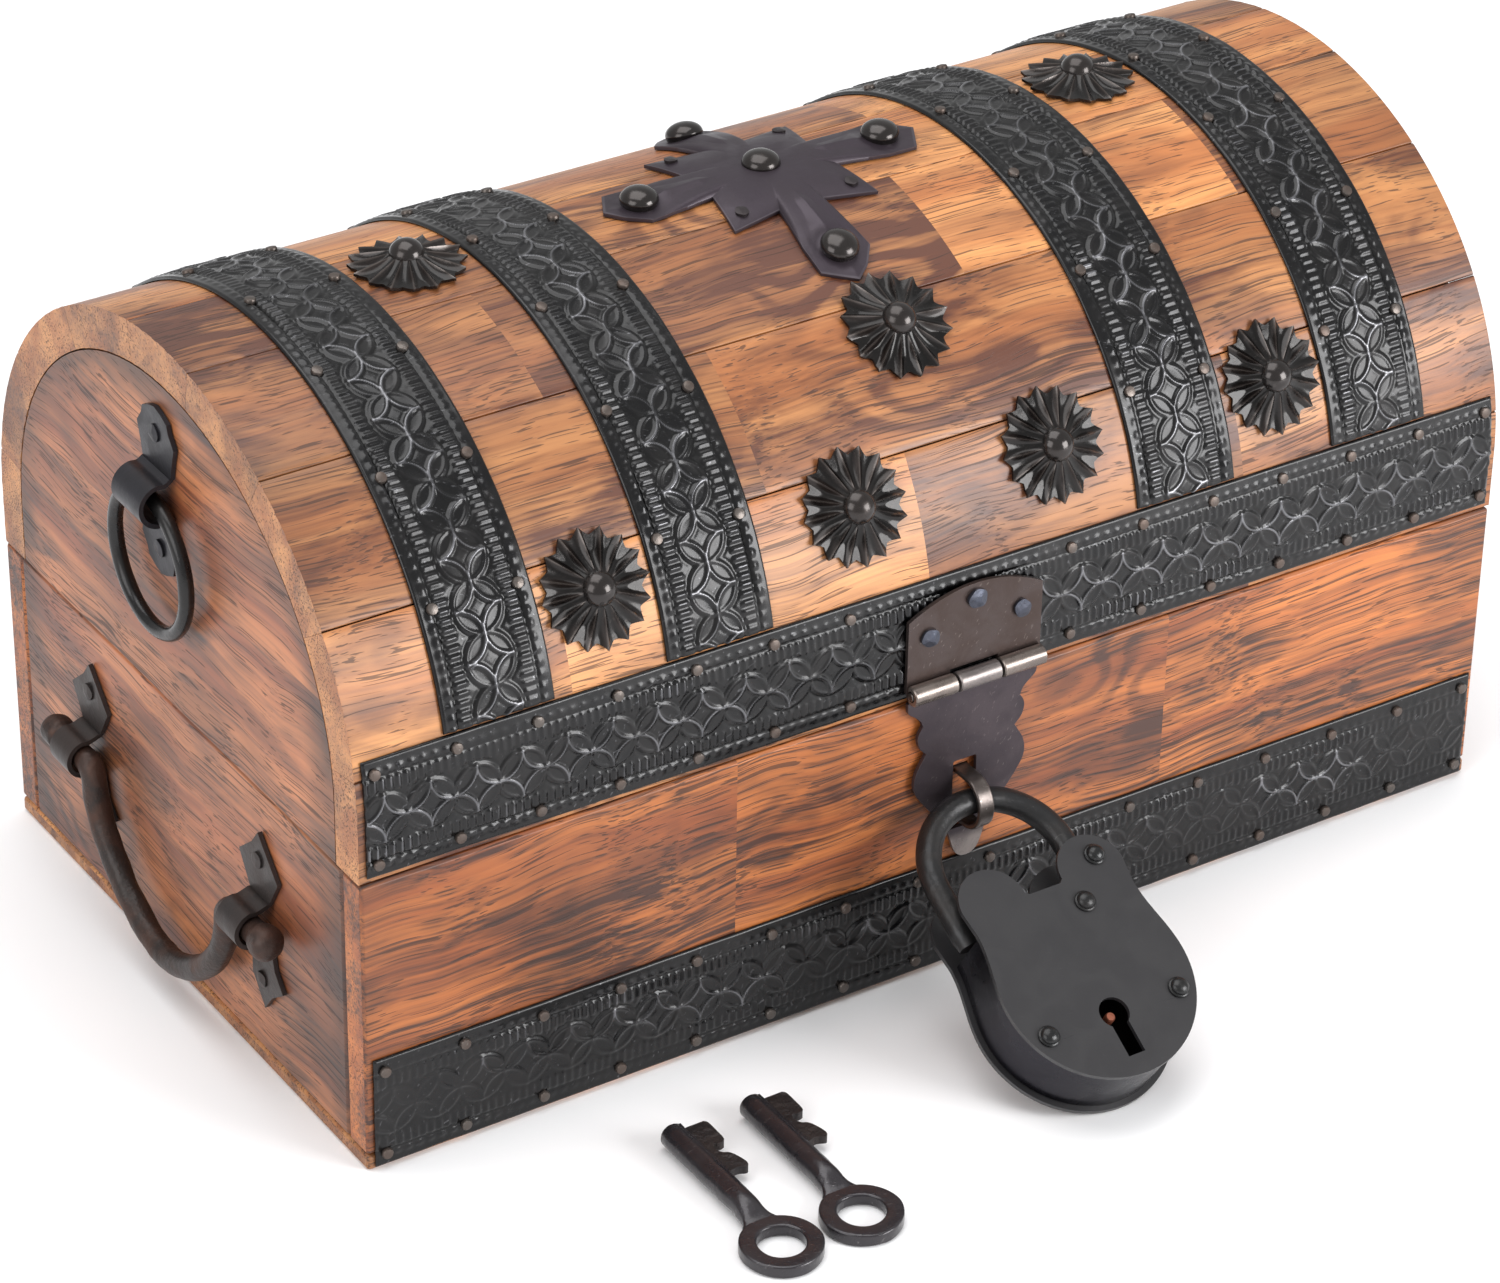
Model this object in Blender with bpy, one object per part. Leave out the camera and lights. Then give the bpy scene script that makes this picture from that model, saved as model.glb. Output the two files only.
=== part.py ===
"""Domed wooden treasure chest with embossed iron straps, padlock and two keys.

Metres, +Z up, +X along the front from left to right, the front faces -Y.
The origin is the middle of the bottom face.
"""
import math

import bmesh
import bpy
from mathutils import Matrix, Vector
from mathutils.geometry import tessellate_polygon

# Wooden box
CHEST_LENGTH = 0.360
CHEST_DEPTH = 0.198
BASE_HEIGHT = 0.0877
BOTTOM_THICKNESS = 0.0047
BOARD_THICKNESS = 0.0096
END_PANEL_THICKNESS = 0.0100
BOARD_BEVEL = 0.0008

# Domed lid
LID_SETBACK = 0.0005
LID_HALF_DEPTH = CHEST_DEPTH / 2 - LID_SETBACK
LID_RISE = 0.0903
LID_SPRING_HEIGHT = 0.1052
SEAM_GAP = 0.0005
STAVE_THICKNESS = 0.0115
STAVE_JOINT_ANGLES = tuple(math.radians(a) for a in (8.0, 32.5, 57.5, 80.5, 99.5, 122.5, 147.5, 172.0))
STAVE_STEP_ANGLE = math.radians(4.2)

# Fits
FIT_GAP = 0.0003
RUNNING_GAP = 0.0005
CUT_OVERRUN = 0.004

# Embossed iron straps
STRAP_WIDTH = 0.0320
STRAP_THICKNESS = 0.0010
OUTER_STRAP_X = 0.1385
INNER_STRAP_X = 0.0735
STRAP_STEP_ANGLE = math.radians(6.0)
FRONT_STRAP_HEIGHT = 0.0332
FRONT_STRAP_INSET = 0.0020
LID_STRAP_RISE = 0.0016
BASE_STRAP_RISE = 0.0013
BACK_STRAP_END_RISE = 0.0040

# Small strap nails
NAIL_RADIUS = 0.0018
NAIL_HEIGHT = 0.0009
NAIL_EDGE_INSET = 0.0034
NAIL_END_INSET = 0.0040
ARCH_NAIL_PITCH = 0.0400
FRONT_NAIL_PITCH = 0.0420
NAIL_SIDES = 6

# Pressed rosettes
ROSETTE_RADIUS = 0.0160
ROSETTE_THICKNESS = 0.0008
ROSETTE_RIM_LIFT = 0.0006
ROSETTE_DOME_LIFT = 0.0028
ROSETTE_PETALS = 16
ROSETTE_VALLEY_SHARE = 0.86
ROSETTE_HUB_RADIUS = 0.0054
ROSETTE_NAIL_RADIUS = 0.0047
ROSETTE_NAIL_HEIGHT = 0.0042
ROSETTE_BAY_X = 0.1060
ROSETTE_PAIR_X = 0.0312
ROSETTE_LOW_ANGLE = math.radians(26.5)
ROSETTE_MIDDLE_ANGLE = math.radians(52.5)
ROSETTE_TOP_ANGLE = math.radians(92.0)

# Pressed cross on top of the lid
CROSS_SPAN = 0.0980
CROSS_PLATE_SIZE = 0.0450
CROSS_NOTCH = 0.0195
CROSS_ARM_NECK = 0.0068
CROSS_ARM_WIDTH = 0.0180
CROSS_ARM_SHOULDER = 0.0395
CROSS_ARM_TIP_CUT = 0.0035
CROSS_THICKNESS = 0.0010
CROSS_RELIEF = 0.0024
CROSS_STUD_RADIUS = 0.0054
CROSS_STUD_HEIGHT = 0.0036
CROSS_STUD_REACH = 0.0380
CROSS_NAIL_REACH = 0.0172
CROSS_CUT_PITCH = 0.0080

# Hasp
HASP_X = 0.0030
HASP_WIDTH = 0.0425
HASP_PIVOT_HEIGHT = 0.0925
HASP_PLATE_SIDE_HEIGHT = 0.0215
HASP_PLATE_CROWN = 0.0060
HASP_THICKNESS = 0.0012
HASP_KNUCKLE_RADIUS = 0.0028
HASP_PIN_RADIUS = 0.0012
HASP_NAIL_RADIUS = 0.0030
HASP_NAIL_HEIGHT = 0.0014
HASP_NAIL_SPREAD = 0.0146
HASP_FLAP_LENGTH = 0.0575
HASP_SLOT_WIDTH = 0.0074
HASP_SLOT_TOP = 0.0262
HASP_SLOT_LENGTH = 0.0215
FLAP_OUTLINE_SHARES = ((0.06, 0.96), (0.09, 0.86), (0.16, 0.73), (0.23, 0.80), (0.29, 0.74), (0.33, 0.66),
                       (0.41, 0.78), (0.48, 0.84), (0.57, 0.76), (0.66, 0.60), (0.75, 0.42), (0.86, 0.27),
                       (0.95, 0.19))

# Staple that the flap slips over
STAPLE_X = 0.0014
STAPLE_WIDTH = 0.0046
STAPLE_THICKNESS = 0.0015
STAPLE_HEIGHT = 0.0552
STAPLE_INNER_RADIUS = 0.0064
STAPLE_REACH = 0.0135
STAPLE_LEG_INSIDE = 0.0040

# Padlock
LOCK_X = 0.0006
LOCK_RADIUS = 0.0280
LOCK_CENTRE_DROP = 0.0281
LOCK_LOBE_RADIUS = 0.0098
LOCK_LOBE_X = 0.0158
LOCK_LOBE_RISE = 0.0010
LOCK_WAIST = 0.0248
LOCK_WAIST_DROP = 0.0060
LOCK_NOTCH_WIDTH = 0.0098
LOCK_DEPTH = 0.0205
LOCK_PLATE_THICKNESS = 0.0014
LOCK_BAND_THICKNESS = 0.0014
LOCK_RIM = 0.0008
LOCK_RIVET_RADIUS = 0.0030
LOCK_RIVET_HEIGHT = 0.0022
LOCK_RIVET_PIN_RADIUS = 0.0016
LOCK_RIVET_SPREAD = 0.0208
LOCK_RIVET_DROP = 0.0380
LOCK_SPRING_RIVET_X = 0.0087
LOCK_SPRING_RIVET_DROP = 0.0071
LOCK_KEYHOLE_RADIUS = 0.0043
LOCK_KEYHOLE_SLOT_WIDTH = 0.0052
LOCK_KEYHOLE_SLOT_LENGTH = 0.0125
LOCK_POST_RADIUS = 0.0014

# Shackle
SHACKLE_ROD_RADIUS = 0.0035
SHACKLE_BOW_RADIUS = 0.0205
SHACKLE_BOW_X = -0.0022
SHACKLE_BOW_RISE = 0.0128
SHACKLE_LEG_DROP = 0.0050
SHACKLE_PIVOT_DROP = -0.0042
SHACKLE_EYE_RADIUS = 0.0050
SHACKLE_HEIGHT = 0.0562
SHACKLE_STANDOFF = 0.0077

# Skeleton keys
KEY_LENGTH = 0.0635
KEY_SHANK_RADIUS = 0.0035
KEY_BOW_RADIUS = 0.0112
KEY_BOW_HOLE_RADIUS = 0.0063
KEY_BOW_THICKNESS = 0.0036
KEY_BIT_REACH = 0.0100
KEY_BIT_LENGTH = 0.0220
KEY_BIT_THICKNESS = 0.0024
KEY_BIT_INSET = 0.0010
KEY_BARREL_HOLE_RADIUS = 0.0018
KEY_BARREL_HOLE_DEPTH = 0.0100
KEY_TIP_Y = -0.1300
KEY_LEFT_X = -0.1080
KEY_RIGHT_X = -0.0838
KEY_FLOOR_GAP = 0.0002
BIT_OUTLINE_SHARES = ((0.00, 0.92), (0.05, 1.00), (0.42, 0.97), (0.46, 0.80), (0.44, 0.62), (0.52, 0.55),
                      (0.62, 0.62), (0.66, 0.76), (0.74, 0.86), (0.92, 0.95), (1.00, 0.86), (0.96, 0.62),
                      (0.98, 0.30))

# End handles
HANDLE_ROD_RADIUS = 0.0035
HANDLE_HEIGHT = 0.0500
HANDLE_STANDOFF = 0.0062
HANDLE_HALF_SPAN = 0.0380
HANDLE_DROP = 0.0385
HANDLE_BOW_EXPONENT = 1.7
HANDLE_CORNER_RADIUS = 0.0042
HANDLE_KNOB_RADIUS = 0.0046
HANDLE_CLIP_OFFSET = 0.0095
HANDLE_CLIP_Y = HANDLE_HALF_SPAN + HANDLE_CLIP_OFFSET
HANDLE_KNOB_OFFSET = 0.0110
HANDLE_KNOB_Y = HANDLE_CLIP_Y + HANDLE_KNOB_OFFSET
HANDLE_CLIP_HALF_WIDTH = 0.0104
HANDLE_CLIP_HALF_HEIGHT = 0.0275
CLIP_THICKNESS = 0.0013
CLIP_LOOP_GAP = 0.0009
CLIP_NAIL_RADIUS = 0.0024
CLIP_NAIL_HEIGHT = 0.0012
HANDLE_NAIL_REACH = 0.0198

# Lid end rings
RING_RADIUS = 0.0196
RING_ROD_RADIUS = 0.0021
RING_PIVOT_HEIGHT = 0.1530
RING_STANDOFF = 0.0046
RING_LOOP_RADIUS = 0.0050
RING_CLIP_HALF_WIDTH = 0.0100
RING_CLIP_HALF_HEIGHT = 0.0245
RING_NAIL_REACH = 0.0170

# Outlines of the strap clips: shares of the half width and half height, from the top down
CLIP_WRAP_ANGLE = math.radians(104.0)
HANDLE_CLIP_UPPER_SHARES = (
    ((-1.00, 0.56), (-0.30, 0.78), (0.02, 0.94)),
    ((-0.72, 0.38), (0.14, 0.46), (0.98, 0.54)),
)
HANDLE_CLIP_LOWER_SHARES = (
    ((-0.52, -0.74), (0.08, -0.62), (0.66, -0.50)),
    ((0.08, -1.04), (0.48, -0.84), (1.06, -0.68)),
)
HANDLE_CLIP_LOOP_SHARE = 0.50
RING_CLIP_UPPER_SHARES = (
    ((-0.30, 0.97), (0.00, 1.00), (0.30, 0.97)),
    ((-0.66, 0.90), (0.00, 0.90), (0.66, 0.90)),
    ((-0.74, 0.80), (0.00, 0.80), (0.74, 0.80)),
    ((-1.00, 0.66), (0.00, 0.66), (1.00, 0.66)),
    ((-0.84, 0.44), (0.00, 0.44), (0.84, 0.44)),
)
RING_CLIP_LOWER_SHARES = tuple(tuple((x, -z) for x, z in row) for row in RING_CLIP_UPPER_SHARES[::-1])
RING_CLIP_LOOP_SHARE = 0.76

# Back hinges
HINGE_X = 0.1060
HINGE_WIDTH = 0.0260
HINGE_LEAF_HEIGHT = 0.0180
HINGE_THICKNESS = 0.0012
HINGE_KNUCKLE_RADIUS = 0.0028
HINGE_PIN_RADIUS = 0.0011

ROUND_SIDES = 16
ROD_SIDES = 10

PLATE_FRONT_Y = -CHEST_DEPTH / 2
LID_BOTTOM = BASE_HEIGHT + SEAM_GAP
END_X = CHEST_LENGTH / 2


def material(name, colour, roughness, metallic):
    """Return a Principled material of one plain colour."""
    mat = bpy.data.materials.new(name)
    mat.use_nodes = True
    shader = mat.node_tree.nodes["Principled BSDF"]
    shader.inputs["Base Color"].default_value = (*colour, 1.0)
    shader.inputs["Roughness"].default_value = roughness
    shader.inputs["Metallic"].default_value = metallic
    mat.diffuse_color = (*colour, 1.0)
    return mat


def add_mesh(name, verts, faces, mat, parent=None, smooth=True):
    """Make an object from points and faces, with its faces turned outward."""
    mesh = bpy.data.meshes.new(name)
    bm = bmesh.new()
    made = [bm.verts.new(v) for v in verts]
    for face in faces:
        bm.faces.new([made[i] for i in face])
    bmesh.ops.recalc_face_normals(bm, faces=bm.faces)
    bm.to_mesh(mesh)
    bm.free()
    return add_object(name, mesh, mat, parent, smooth)


def add_object(name, mesh, mat, parent=None, smooth=True):
    """Link a mesh to the scene as a named object under a parent."""
    mesh.materials.append(mat)
    if smooth:
        mesh.shade_smooth()
        mesh.set_sharp_from_angle(angle=math.radians(35.0))
    obj = bpy.data.objects.new(name, mesh)
    bpy.context.collection.objects.link(obj)
    if parent is not None:
        obj.parent = parent
        obj.matrix_parent_inverse = parent.matrix_world.inverted()
    return obj


def pivot(name, location):
    """Make an empty on a joint's axis, for the pieces that turn or slide together."""
    empty = bpy.data.objects.new(name, None)
    empty.location = location
    bpy.context.collection.objects.link(empty)
    bpy.context.view_layer.update()
    return empty


def boolean(obj, cutter, operation):
    """Cut or join one object with a hidden helper."""
    cutter.hide_render = True
    cutter.display_type = "WIRE"
    mod = obj.modifiers.new(operation.title(), "BOOLEAN")
    mod.object = cutter
    mod.operation = operation


def board(name, low, high, mat, parent=None):
    """Make a board between two corners with slightly broken edges."""
    bm = bmesh.new()
    bmesh.ops.create_cube(bm, size=1.0)
    size = Vector(high) - Vector(low)
    centre = (Vector(high) + Vector(low)) / 2
    bmesh.ops.scale(bm, vec=size, verts=bm.verts)
    bmesh.ops.translate(bm, vec=centre, verts=bm.verts)
    bmesh.ops.bevel(bm, geom=bm.edges[:], offset=BOARD_BEVEL, segments=1, affect="EDGES")
    mesh = bpy.data.meshes.new(name)
    bm.to_mesh(mesh)
    bm.free()
    return add_object(name, mesh, mat, parent, smooth=False)


def loops_to_solid(loops, place_low, place_high):
    """Turn an outline and its holes into points and faces of a closed slab.

    place_low and place_high give the point of each face for a flat point.
    """
    flat = [p for loop in loops for p in loop]
    count = len(flat)
    verts = [place_low(p) for p in flat] + [place_high(p) for p in flat]
    tris = tessellate_polygon([[Vector((p[0], p[1], 0.0)) for p in loop] for loop in loops])
    faces = [tuple(t) for t in tris] + [tuple(i + count for i in reversed(t)) for t in tris]
    start = 0
    for loop in loops:
        size = len(loop)
        for i in range(size):
            j = (i + 1) % size
            faces.append((start + i, start + j, start + j + count, start + i + count))
        start += size
    return verts, faces


def slab(name, loops, thickness, frame, mat, parent=None):
    """Extrude a flat outline with holes along its frame's third axis."""
    low = lambda p: frame @ Vector((p[0], p[1], 0.0))
    high = lambda p: frame @ Vector((p[0], p[1], thickness))
    verts, faces = loops_to_solid(loops, low, high)
    return add_mesh(name, verts, faces, mat, parent)


def circle(centre, radius, sides=ROUND_SIDES):
    """Return the points of a circle in a plane, with a flat side across its first axis."""
    turn = 2 * math.pi / sides
    points = []
    for i in range(sides):
        a = (i + 0.5) * turn
        points.append((centre[0] + radius * math.cos(a), centre[1] + radius * math.sin(a)))
    return points


def turned(profile, frame, sides=ROUND_SIDES):
    """Turn a profile of (radius, height) about its frame's third axis, closed at both ends."""
    verts = []
    faces = []
    turn = 2 * math.pi / sides
    for radius, height in profile:
        for i in range(sides):
            verts.append(frame @ Vector((radius * math.cos(i * turn), radius * math.sin(i * turn), height)))
    for ring in range(len(profile) - 1):
        for i in range(sides):
            j = (i + 1) % sides
            a = ring * sides
            b = a + sides
            faces.append((a + i, a + j, b + j, b + i))
    faces.append(tuple(reversed(range(sides))))
    faces.append(tuple(range((len(profile) - 1) * sides, len(profile) * sides)))
    return verts, faces


def tube_ring(outer, inner, length, frame, sides=ROUND_SIDES):
    """Return a straight tube with a bore, from its frame's origin along the third axis."""
    loops = [circle((0.0, 0.0), outer, sides), circle((0.0, 0.0), inner, sides)]
    low = lambda p: frame @ Vector((p[0], p[1], 0.0))
    high = lambda p: frame @ Vector((p[0], p[1], length))
    return loops_to_solid(loops, low, high)


def merge(parts):
    """Put several separate solids into one list of points and faces."""
    verts = []
    faces = []
    for part_verts, part_faces in parts:
        shift = len(verts)
        verts.extend(part_verts)
        faces.extend(tuple(i + shift for i in face) for face in part_faces)
    return verts, faces


def frame_at(point, normal, up=Vector((0.0, 0.0, 1.0))):
    """Return a frame at a point whose third axis is the normal."""
    third = normal.normalized()
    side = up.cross(third)
    if side.length == 0.0:
        side = Vector((1.0, 0.0, 0.0))
    first = side.normalized()
    second = third.cross(first)
    rotation = Matrix((first, second, third)).transposed().to_4x4()
    return Matrix.Translation(point) @ rotation


def head_profile(radius, height, root):
    """Return the low dome of a hammered nail head, its root sunk in what it holds."""
    return [(radius, -root), (radius, height / 3), (radius * 2 / 3, height)]


def dome_profile(radius, height, root, steps=4):
    """Return a round dome of a stud on a sunk root, up to a small flat crown."""
    rows = [(radius, -root)]
    for i in range(steps):
        a = math.pi / 2 * i / steps
        rows.append((radius * math.cos(a), height * math.sin(a)))
    return rows


def fasten(obj, heads, mat):
    """Join nail heads or studs to the piece that they hold down."""
    helper = add_mesh(f"{obj.name}_heads", *merge(heads), mat)
    boolean(obj, helper, "UNION")


def rod(points, normal, radii, sides=ROD_SIDES, closed=False):
    """Sweep a round section along a path that lies in one plane."""
    count = len(points)
    verts = []
    faces = []
    turn = 2 * math.pi / sides
    for i, point in enumerate(points):
        before = points[(i - 1) % count] if closed or i > 0 else point
        after = points[(i + 1) % count] if closed or i < count - 1 else point
        along = (after - before).normalized()
        side = along.cross(normal).normalized()
        for k in range(sides):
            offset = side * math.cos(k * turn) + normal * math.sin(k * turn)
            verts.append(point + offset * radii[i])
    for i in range(count if closed else count - 1):
        a = i * sides
        b = (i + 1) % count * sides
        for k in range(sides):
            n = (k + 1) % sides
            faces.append((a + k, a + n, b + n, b + k))
    if not closed:
        faces.append(tuple(reversed(range(sides))))
        faces.append(tuple(range((count - 1) * sides, count * sides)))
    return verts, faces


def lid_point(angle, lift):
    """Return (y, z) on the lid's outline at an angle, lifted along the outline's normal."""
    y = -LID_HALF_DEPTH * math.cos(angle)
    z = LID_SPRING_HEIGHT + LID_RISE * math.sin(angle)
    normal = Vector((-math.cos(angle) / LID_HALF_DEPTH, math.sin(angle) / LID_RISE)).normalized()
    return y + normal.x * lift, z + normal.y * lift


def lid_normal(angle):
    """Return the outward direction of the lid at an angle."""
    return Vector((0.0, -math.cos(angle) / LID_HALF_DEPTH, math.sin(angle) / LID_RISE)).normalized()


def front_angle(height):
    """Return the lid's angle at a height on its front."""
    return math.asin((height - LID_SPRING_HEIGHT) / LID_RISE)


def wrap(x, centre_angle, arc, lift):
    """Return the point that lies an arc's length up the dome from an angle."""
    slope = math.hypot(LID_HALF_DEPTH * math.sin(centre_angle), LID_RISE * math.cos(centre_angle))
    first = centre_angle + arc / slope
    middle = (centre_angle + first) / 2
    slope = math.hypot(LID_HALF_DEPTH * math.sin(middle), LID_RISE * math.cos(middle))
    y, z = lid_point(centre_angle + arc / slope, lift)
    return Vector((x, y, z))


def angle_steps(start, end, pitch):
    """Return evenly spaced angles from start to end, no further apart than the pitch."""
    count = max(1, math.ceil((end - start) / pitch))
    return [start + (end - start) * i / count for i in range(count + 1)]


def band(name, rows, width_low, width_high, mat, parent):
    """Bridge rows of (inner point, outer point) in the YZ plane into a strap along X."""
    verts = []
    faces = []
    for inner, outer in rows:
        for x, point in ((width_low, inner), (width_high, inner), (width_high, outer), (width_low, outer)):
            verts.append(Vector((x, point[0], point[1])))
    for i in range(len(rows) - 1):
        a = 4 * i
        for k in range(4):
            n = (k + 1) % 4
            faces.append((a + k, a + n, a + 4 + n, a + 4 + k))
    last = 4 * (len(rows) - 1)
    faces.append((3, 2, 1, 0))
    faces.append((last, last + 1, last + 2, last + 3))
    return add_mesh(name, verts, faces, mat, parent)


def knuckle_plate(name, plates, spans, knuckle, pin, mat, parent):
    """Join plates to the hollow knuckles along their edges.

    Each span is (frame, start, end). The frame's first axis runs along the pin and its
    third axis points away from the wall.
    """
    leaf = add_mesh(name, *plates, mat, parent)
    for index, (frame, start, end) in enumerate(spans):
        along = Matrix.Translation((start, 0.0, knuckle)) @ Matrix.Rotation(math.pi / 2, 4, "Y")
        verts, faces = tube_ring(knuckle, pin + FIT_GAP, end - start, frame @ along)
        ring = add_mesh(f"{name}_knuckle_{index}", verts, faces, mat, parent)
        boolean(leaf, ring, "UNION")
    return leaf


# Build
for old in list(bpy.data.objects):
    bpy.data.objects.remove(old, do_unlink=True)

oak = material("stave_wood", (0.43, 0.23, 0.11), 0.55, 0.0)
front_wood = material("front_wood", (0.42, 0.21, 0.09), 0.55, 0.0)
end_wood = material("end_wood", (0.27, 0.17, 0.14), 0.6, 0.0)
black_iron = material("black_iron", (0.03, 0.03, 0.035), 0.45, 0.4)
brown_steel = material("brown_steel", (0.13, 0.11, 0.11), 0.42, 0.8)
worn_steel = material("worn_steel", (0.30, 0.28, 0.27), 0.38, 0.9)
stud_black = material("stud_black", (0.025, 0.025, 0.025), 0.25, 0.6)
lock_black = material("lock_black", (0.035, 0.035, 0.037), 0.5, 0.5)
key_iron = material("key_iron", (0.08, 0.065, 0.06), 0.4, 0.8)
copper_pin = material("copper_pin", (0.35, 0.18, 0.12), 0.45, 0.9)

lid_axis_y = CHEST_DEPTH / 2 + FIT_GAP + HINGE_KNUCKLE_RADIUS
lid_axis_z = BASE_HEIGHT + SEAM_GAP / 2
lid_pivot = pivot("lid_pivot", (0.0, lid_axis_y, lid_axis_z))

# Base boards
half_depth = CHEST_DEPTH / 2
wall_low = BOTTOM_THICKNESS + FIT_GAP
board("bottom_board", (-END_X, -half_depth, 0.0), (END_X, half_depth, BOTTOM_THICKNESS), oak)
front_board = board("base_front_board", (-END_X, -half_depth, wall_low),
                    (END_X, -half_depth + BOARD_THICKNESS, BASE_HEIGHT), front_wood)
board("base_back_board", (-END_X, half_depth - BOARD_THICKNESS, wall_low),
      (END_X, half_depth, BASE_HEIGHT), front_wood)
panel_y = half_depth - BOARD_THICKNESS - FIT_GAP
for side, name in ((-1, "base_left_panel"), (1, "base_right_panel")):
    outer_x = side * END_X
    inner_x = side * (END_X - END_PANEL_THICKNESS)
    low = (min(outer_x, inner_x), -panel_y, wall_low)
    high = (max(outer_x, inner_x), panel_y, BASE_HEIGHT)
    board(name, low, high, end_wood)

# Lid staves, glued edge to edge around the dome
joint_half = FIT_GAP / 2


def stave_rows(start, end):
    """Return inner and outer points of one stave between two angles of the dome."""
    rows = []
    for angle in angle_steps(start, end, STAVE_STEP_ANGLE):
        rows.append((lid_point(angle, -STAVE_THICKNESS), lid_point(angle, 0.0)))
    return rows


joint_angle = joint_half / LID_RISE
cuts = list(STAVE_JOINT_ANGLES)
front_rows = [((-LID_HALF_DEPTH + STAVE_THICKNESS, LID_BOTTOM), (-LID_HALF_DEPTH, LID_BOTTOM))]
front_rows += stave_rows(0.0, cuts[0] - joint_angle)
band("lid_stave_1", front_rows, -END_X, END_X, oak, lid_pivot)
for index in range(len(cuts) - 1):
    rows = stave_rows(cuts[index] + joint_angle, cuts[index + 1] - joint_angle)
    band(f"lid_stave_{index + 2}", rows, -END_X, END_X, oak, lid_pivot)
back_rows = stave_rows(cuts[-1] + joint_angle, math.pi)
back_rows.append(((LID_HALF_DEPTH - STAVE_THICKNESS, LID_BOTTOM), (LID_HALF_DEPTH, LID_BOTTOM)))
band(f"lid_stave_{len(cuts) + 1}", back_rows, -END_X, END_X, oak, lid_pivot)

# Lid end panels, let into the ring of staves
panel_drop = STAVE_THICKNESS + FIT_GAP + joint_half
panel_outline = [(LID_HALF_DEPTH - panel_drop, LID_BOTTOM), (-LID_HALF_DEPTH + panel_drop, LID_BOTTOM)]
for angle in angle_steps(0.0, math.pi, STAVE_STEP_ANGLE):
    panel_outline.append(lid_point(angle, -panel_drop))
for side, name in ((-1, "lid_left_panel"), (1, "lid_right_panel")):
    outer_x = side * END_X
    inner_x = side * (END_X - END_PANEL_THICKNESS)
    outer = lambda p: Vector((outer_x, *p))
    inner = lambda p: Vector((inner_x, *p))
    add_mesh(name, *loops_to_solid([panel_outline], outer, inner), end_wood, lid_pivot)

# Straps
strap_inner = FIT_GAP
strap_outer = FIT_GAP + STRAP_THICKNESS
lid_strap_low = LID_BOTTOM + LID_STRAP_RISE
lid_strap_high = lid_strap_low + FRONT_STRAP_HEIGHT
arch_start = front_angle(lid_strap_high + FIT_GAP)
arch_names = ("arch_strap_outer_left", "arch_strap_inner_left",
              "arch_strap_inner_right", "arch_strap_outer_right")
arch_xs = (-OUTER_STRAP_X, -INNER_STRAP_X, INNER_STRAP_X, OUTER_STRAP_X)
back_end = LID_BOTTOM + BACK_STRAP_END_RISE
arch_straps = []
for name, x in zip(arch_names, arch_xs):
    rows = []
    for angle in angle_steps(arch_start, math.pi, STRAP_STEP_ANGLE):
        rows.append((lid_point(angle, strap_inner), lid_point(angle, strap_outer)))
    rows.append(((LID_HALF_DEPTH + strap_inner, back_end), (LID_HALF_DEPTH + strap_outer, back_end)))
    strap = band(name, rows, x - STRAP_WIDTH / 2, x + STRAP_WIDTH / 2, black_iron, lid_pivot)
    arch_straps.append((strap, x))

front_half = END_X - FRONT_STRAP_INSET
rows = [((-LID_HALF_DEPTH - strap_inner, lid_strap_low), (-LID_HALF_DEPTH - strap_outer, lid_strap_low))]
for angle in angle_steps(0.0, front_angle(lid_strap_high), STRAP_STEP_ANGLE):
    rows.append((lid_point(angle, strap_inner), lid_point(angle, strap_outer)))
lid_front_strap = band("lid_front_strap", rows, -front_half, front_half, black_iron, lid_pivot)

base_strap_low = BASE_STRAP_RISE
base_strap_high = base_strap_low + FRONT_STRAP_HEIGHT
rows = []
for height in (base_strap_low, base_strap_high):
    rows.append(((PLATE_FRONT_Y - strap_inner, height), (PLATE_FRONT_Y - strap_outer, height)))
base_front_strap = band("base_front_strap", rows, -front_half, front_half, black_iron, None)


def row_places(length, inset, pitch, offset):
    """Return places along a strap's edge at one pitch, starting at an inset plus an offset."""
    places = []
    place = inset + offset
    while place <= length - inset:
        places.append(place)
        place += pitch
    return places


# Strap nails, staggered along both edges of each strap
nail_profile = head_profile(NAIL_RADIUS, NAIL_HEIGHT, STRAP_THICKNESS / 2)
edge_reach = STRAP_WIDTH / 2 - NAIL_EDGE_INSET
mean_radius = (LID_HALF_DEPTH + LID_RISE) / 2
arch_length = mean_radius * (math.pi - arch_start)
for strap, x in arch_straps:
    heads = []
    for side, offset in ((-1, 0.0), (1, ARCH_NAIL_PITCH / 2)):
        for place in row_places(arch_length, NAIL_END_INSET, ARCH_NAIL_PITCH, offset):
            angle = arch_start + place / mean_radius
            point = Vector((x + side * edge_reach, *lid_point(angle, strap_outer)))
            heads.append(turned(nail_profile, frame_at(point, lid_normal(angle)), NAIL_SIDES))
    fasten(strap, heads, brown_steel)

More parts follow.
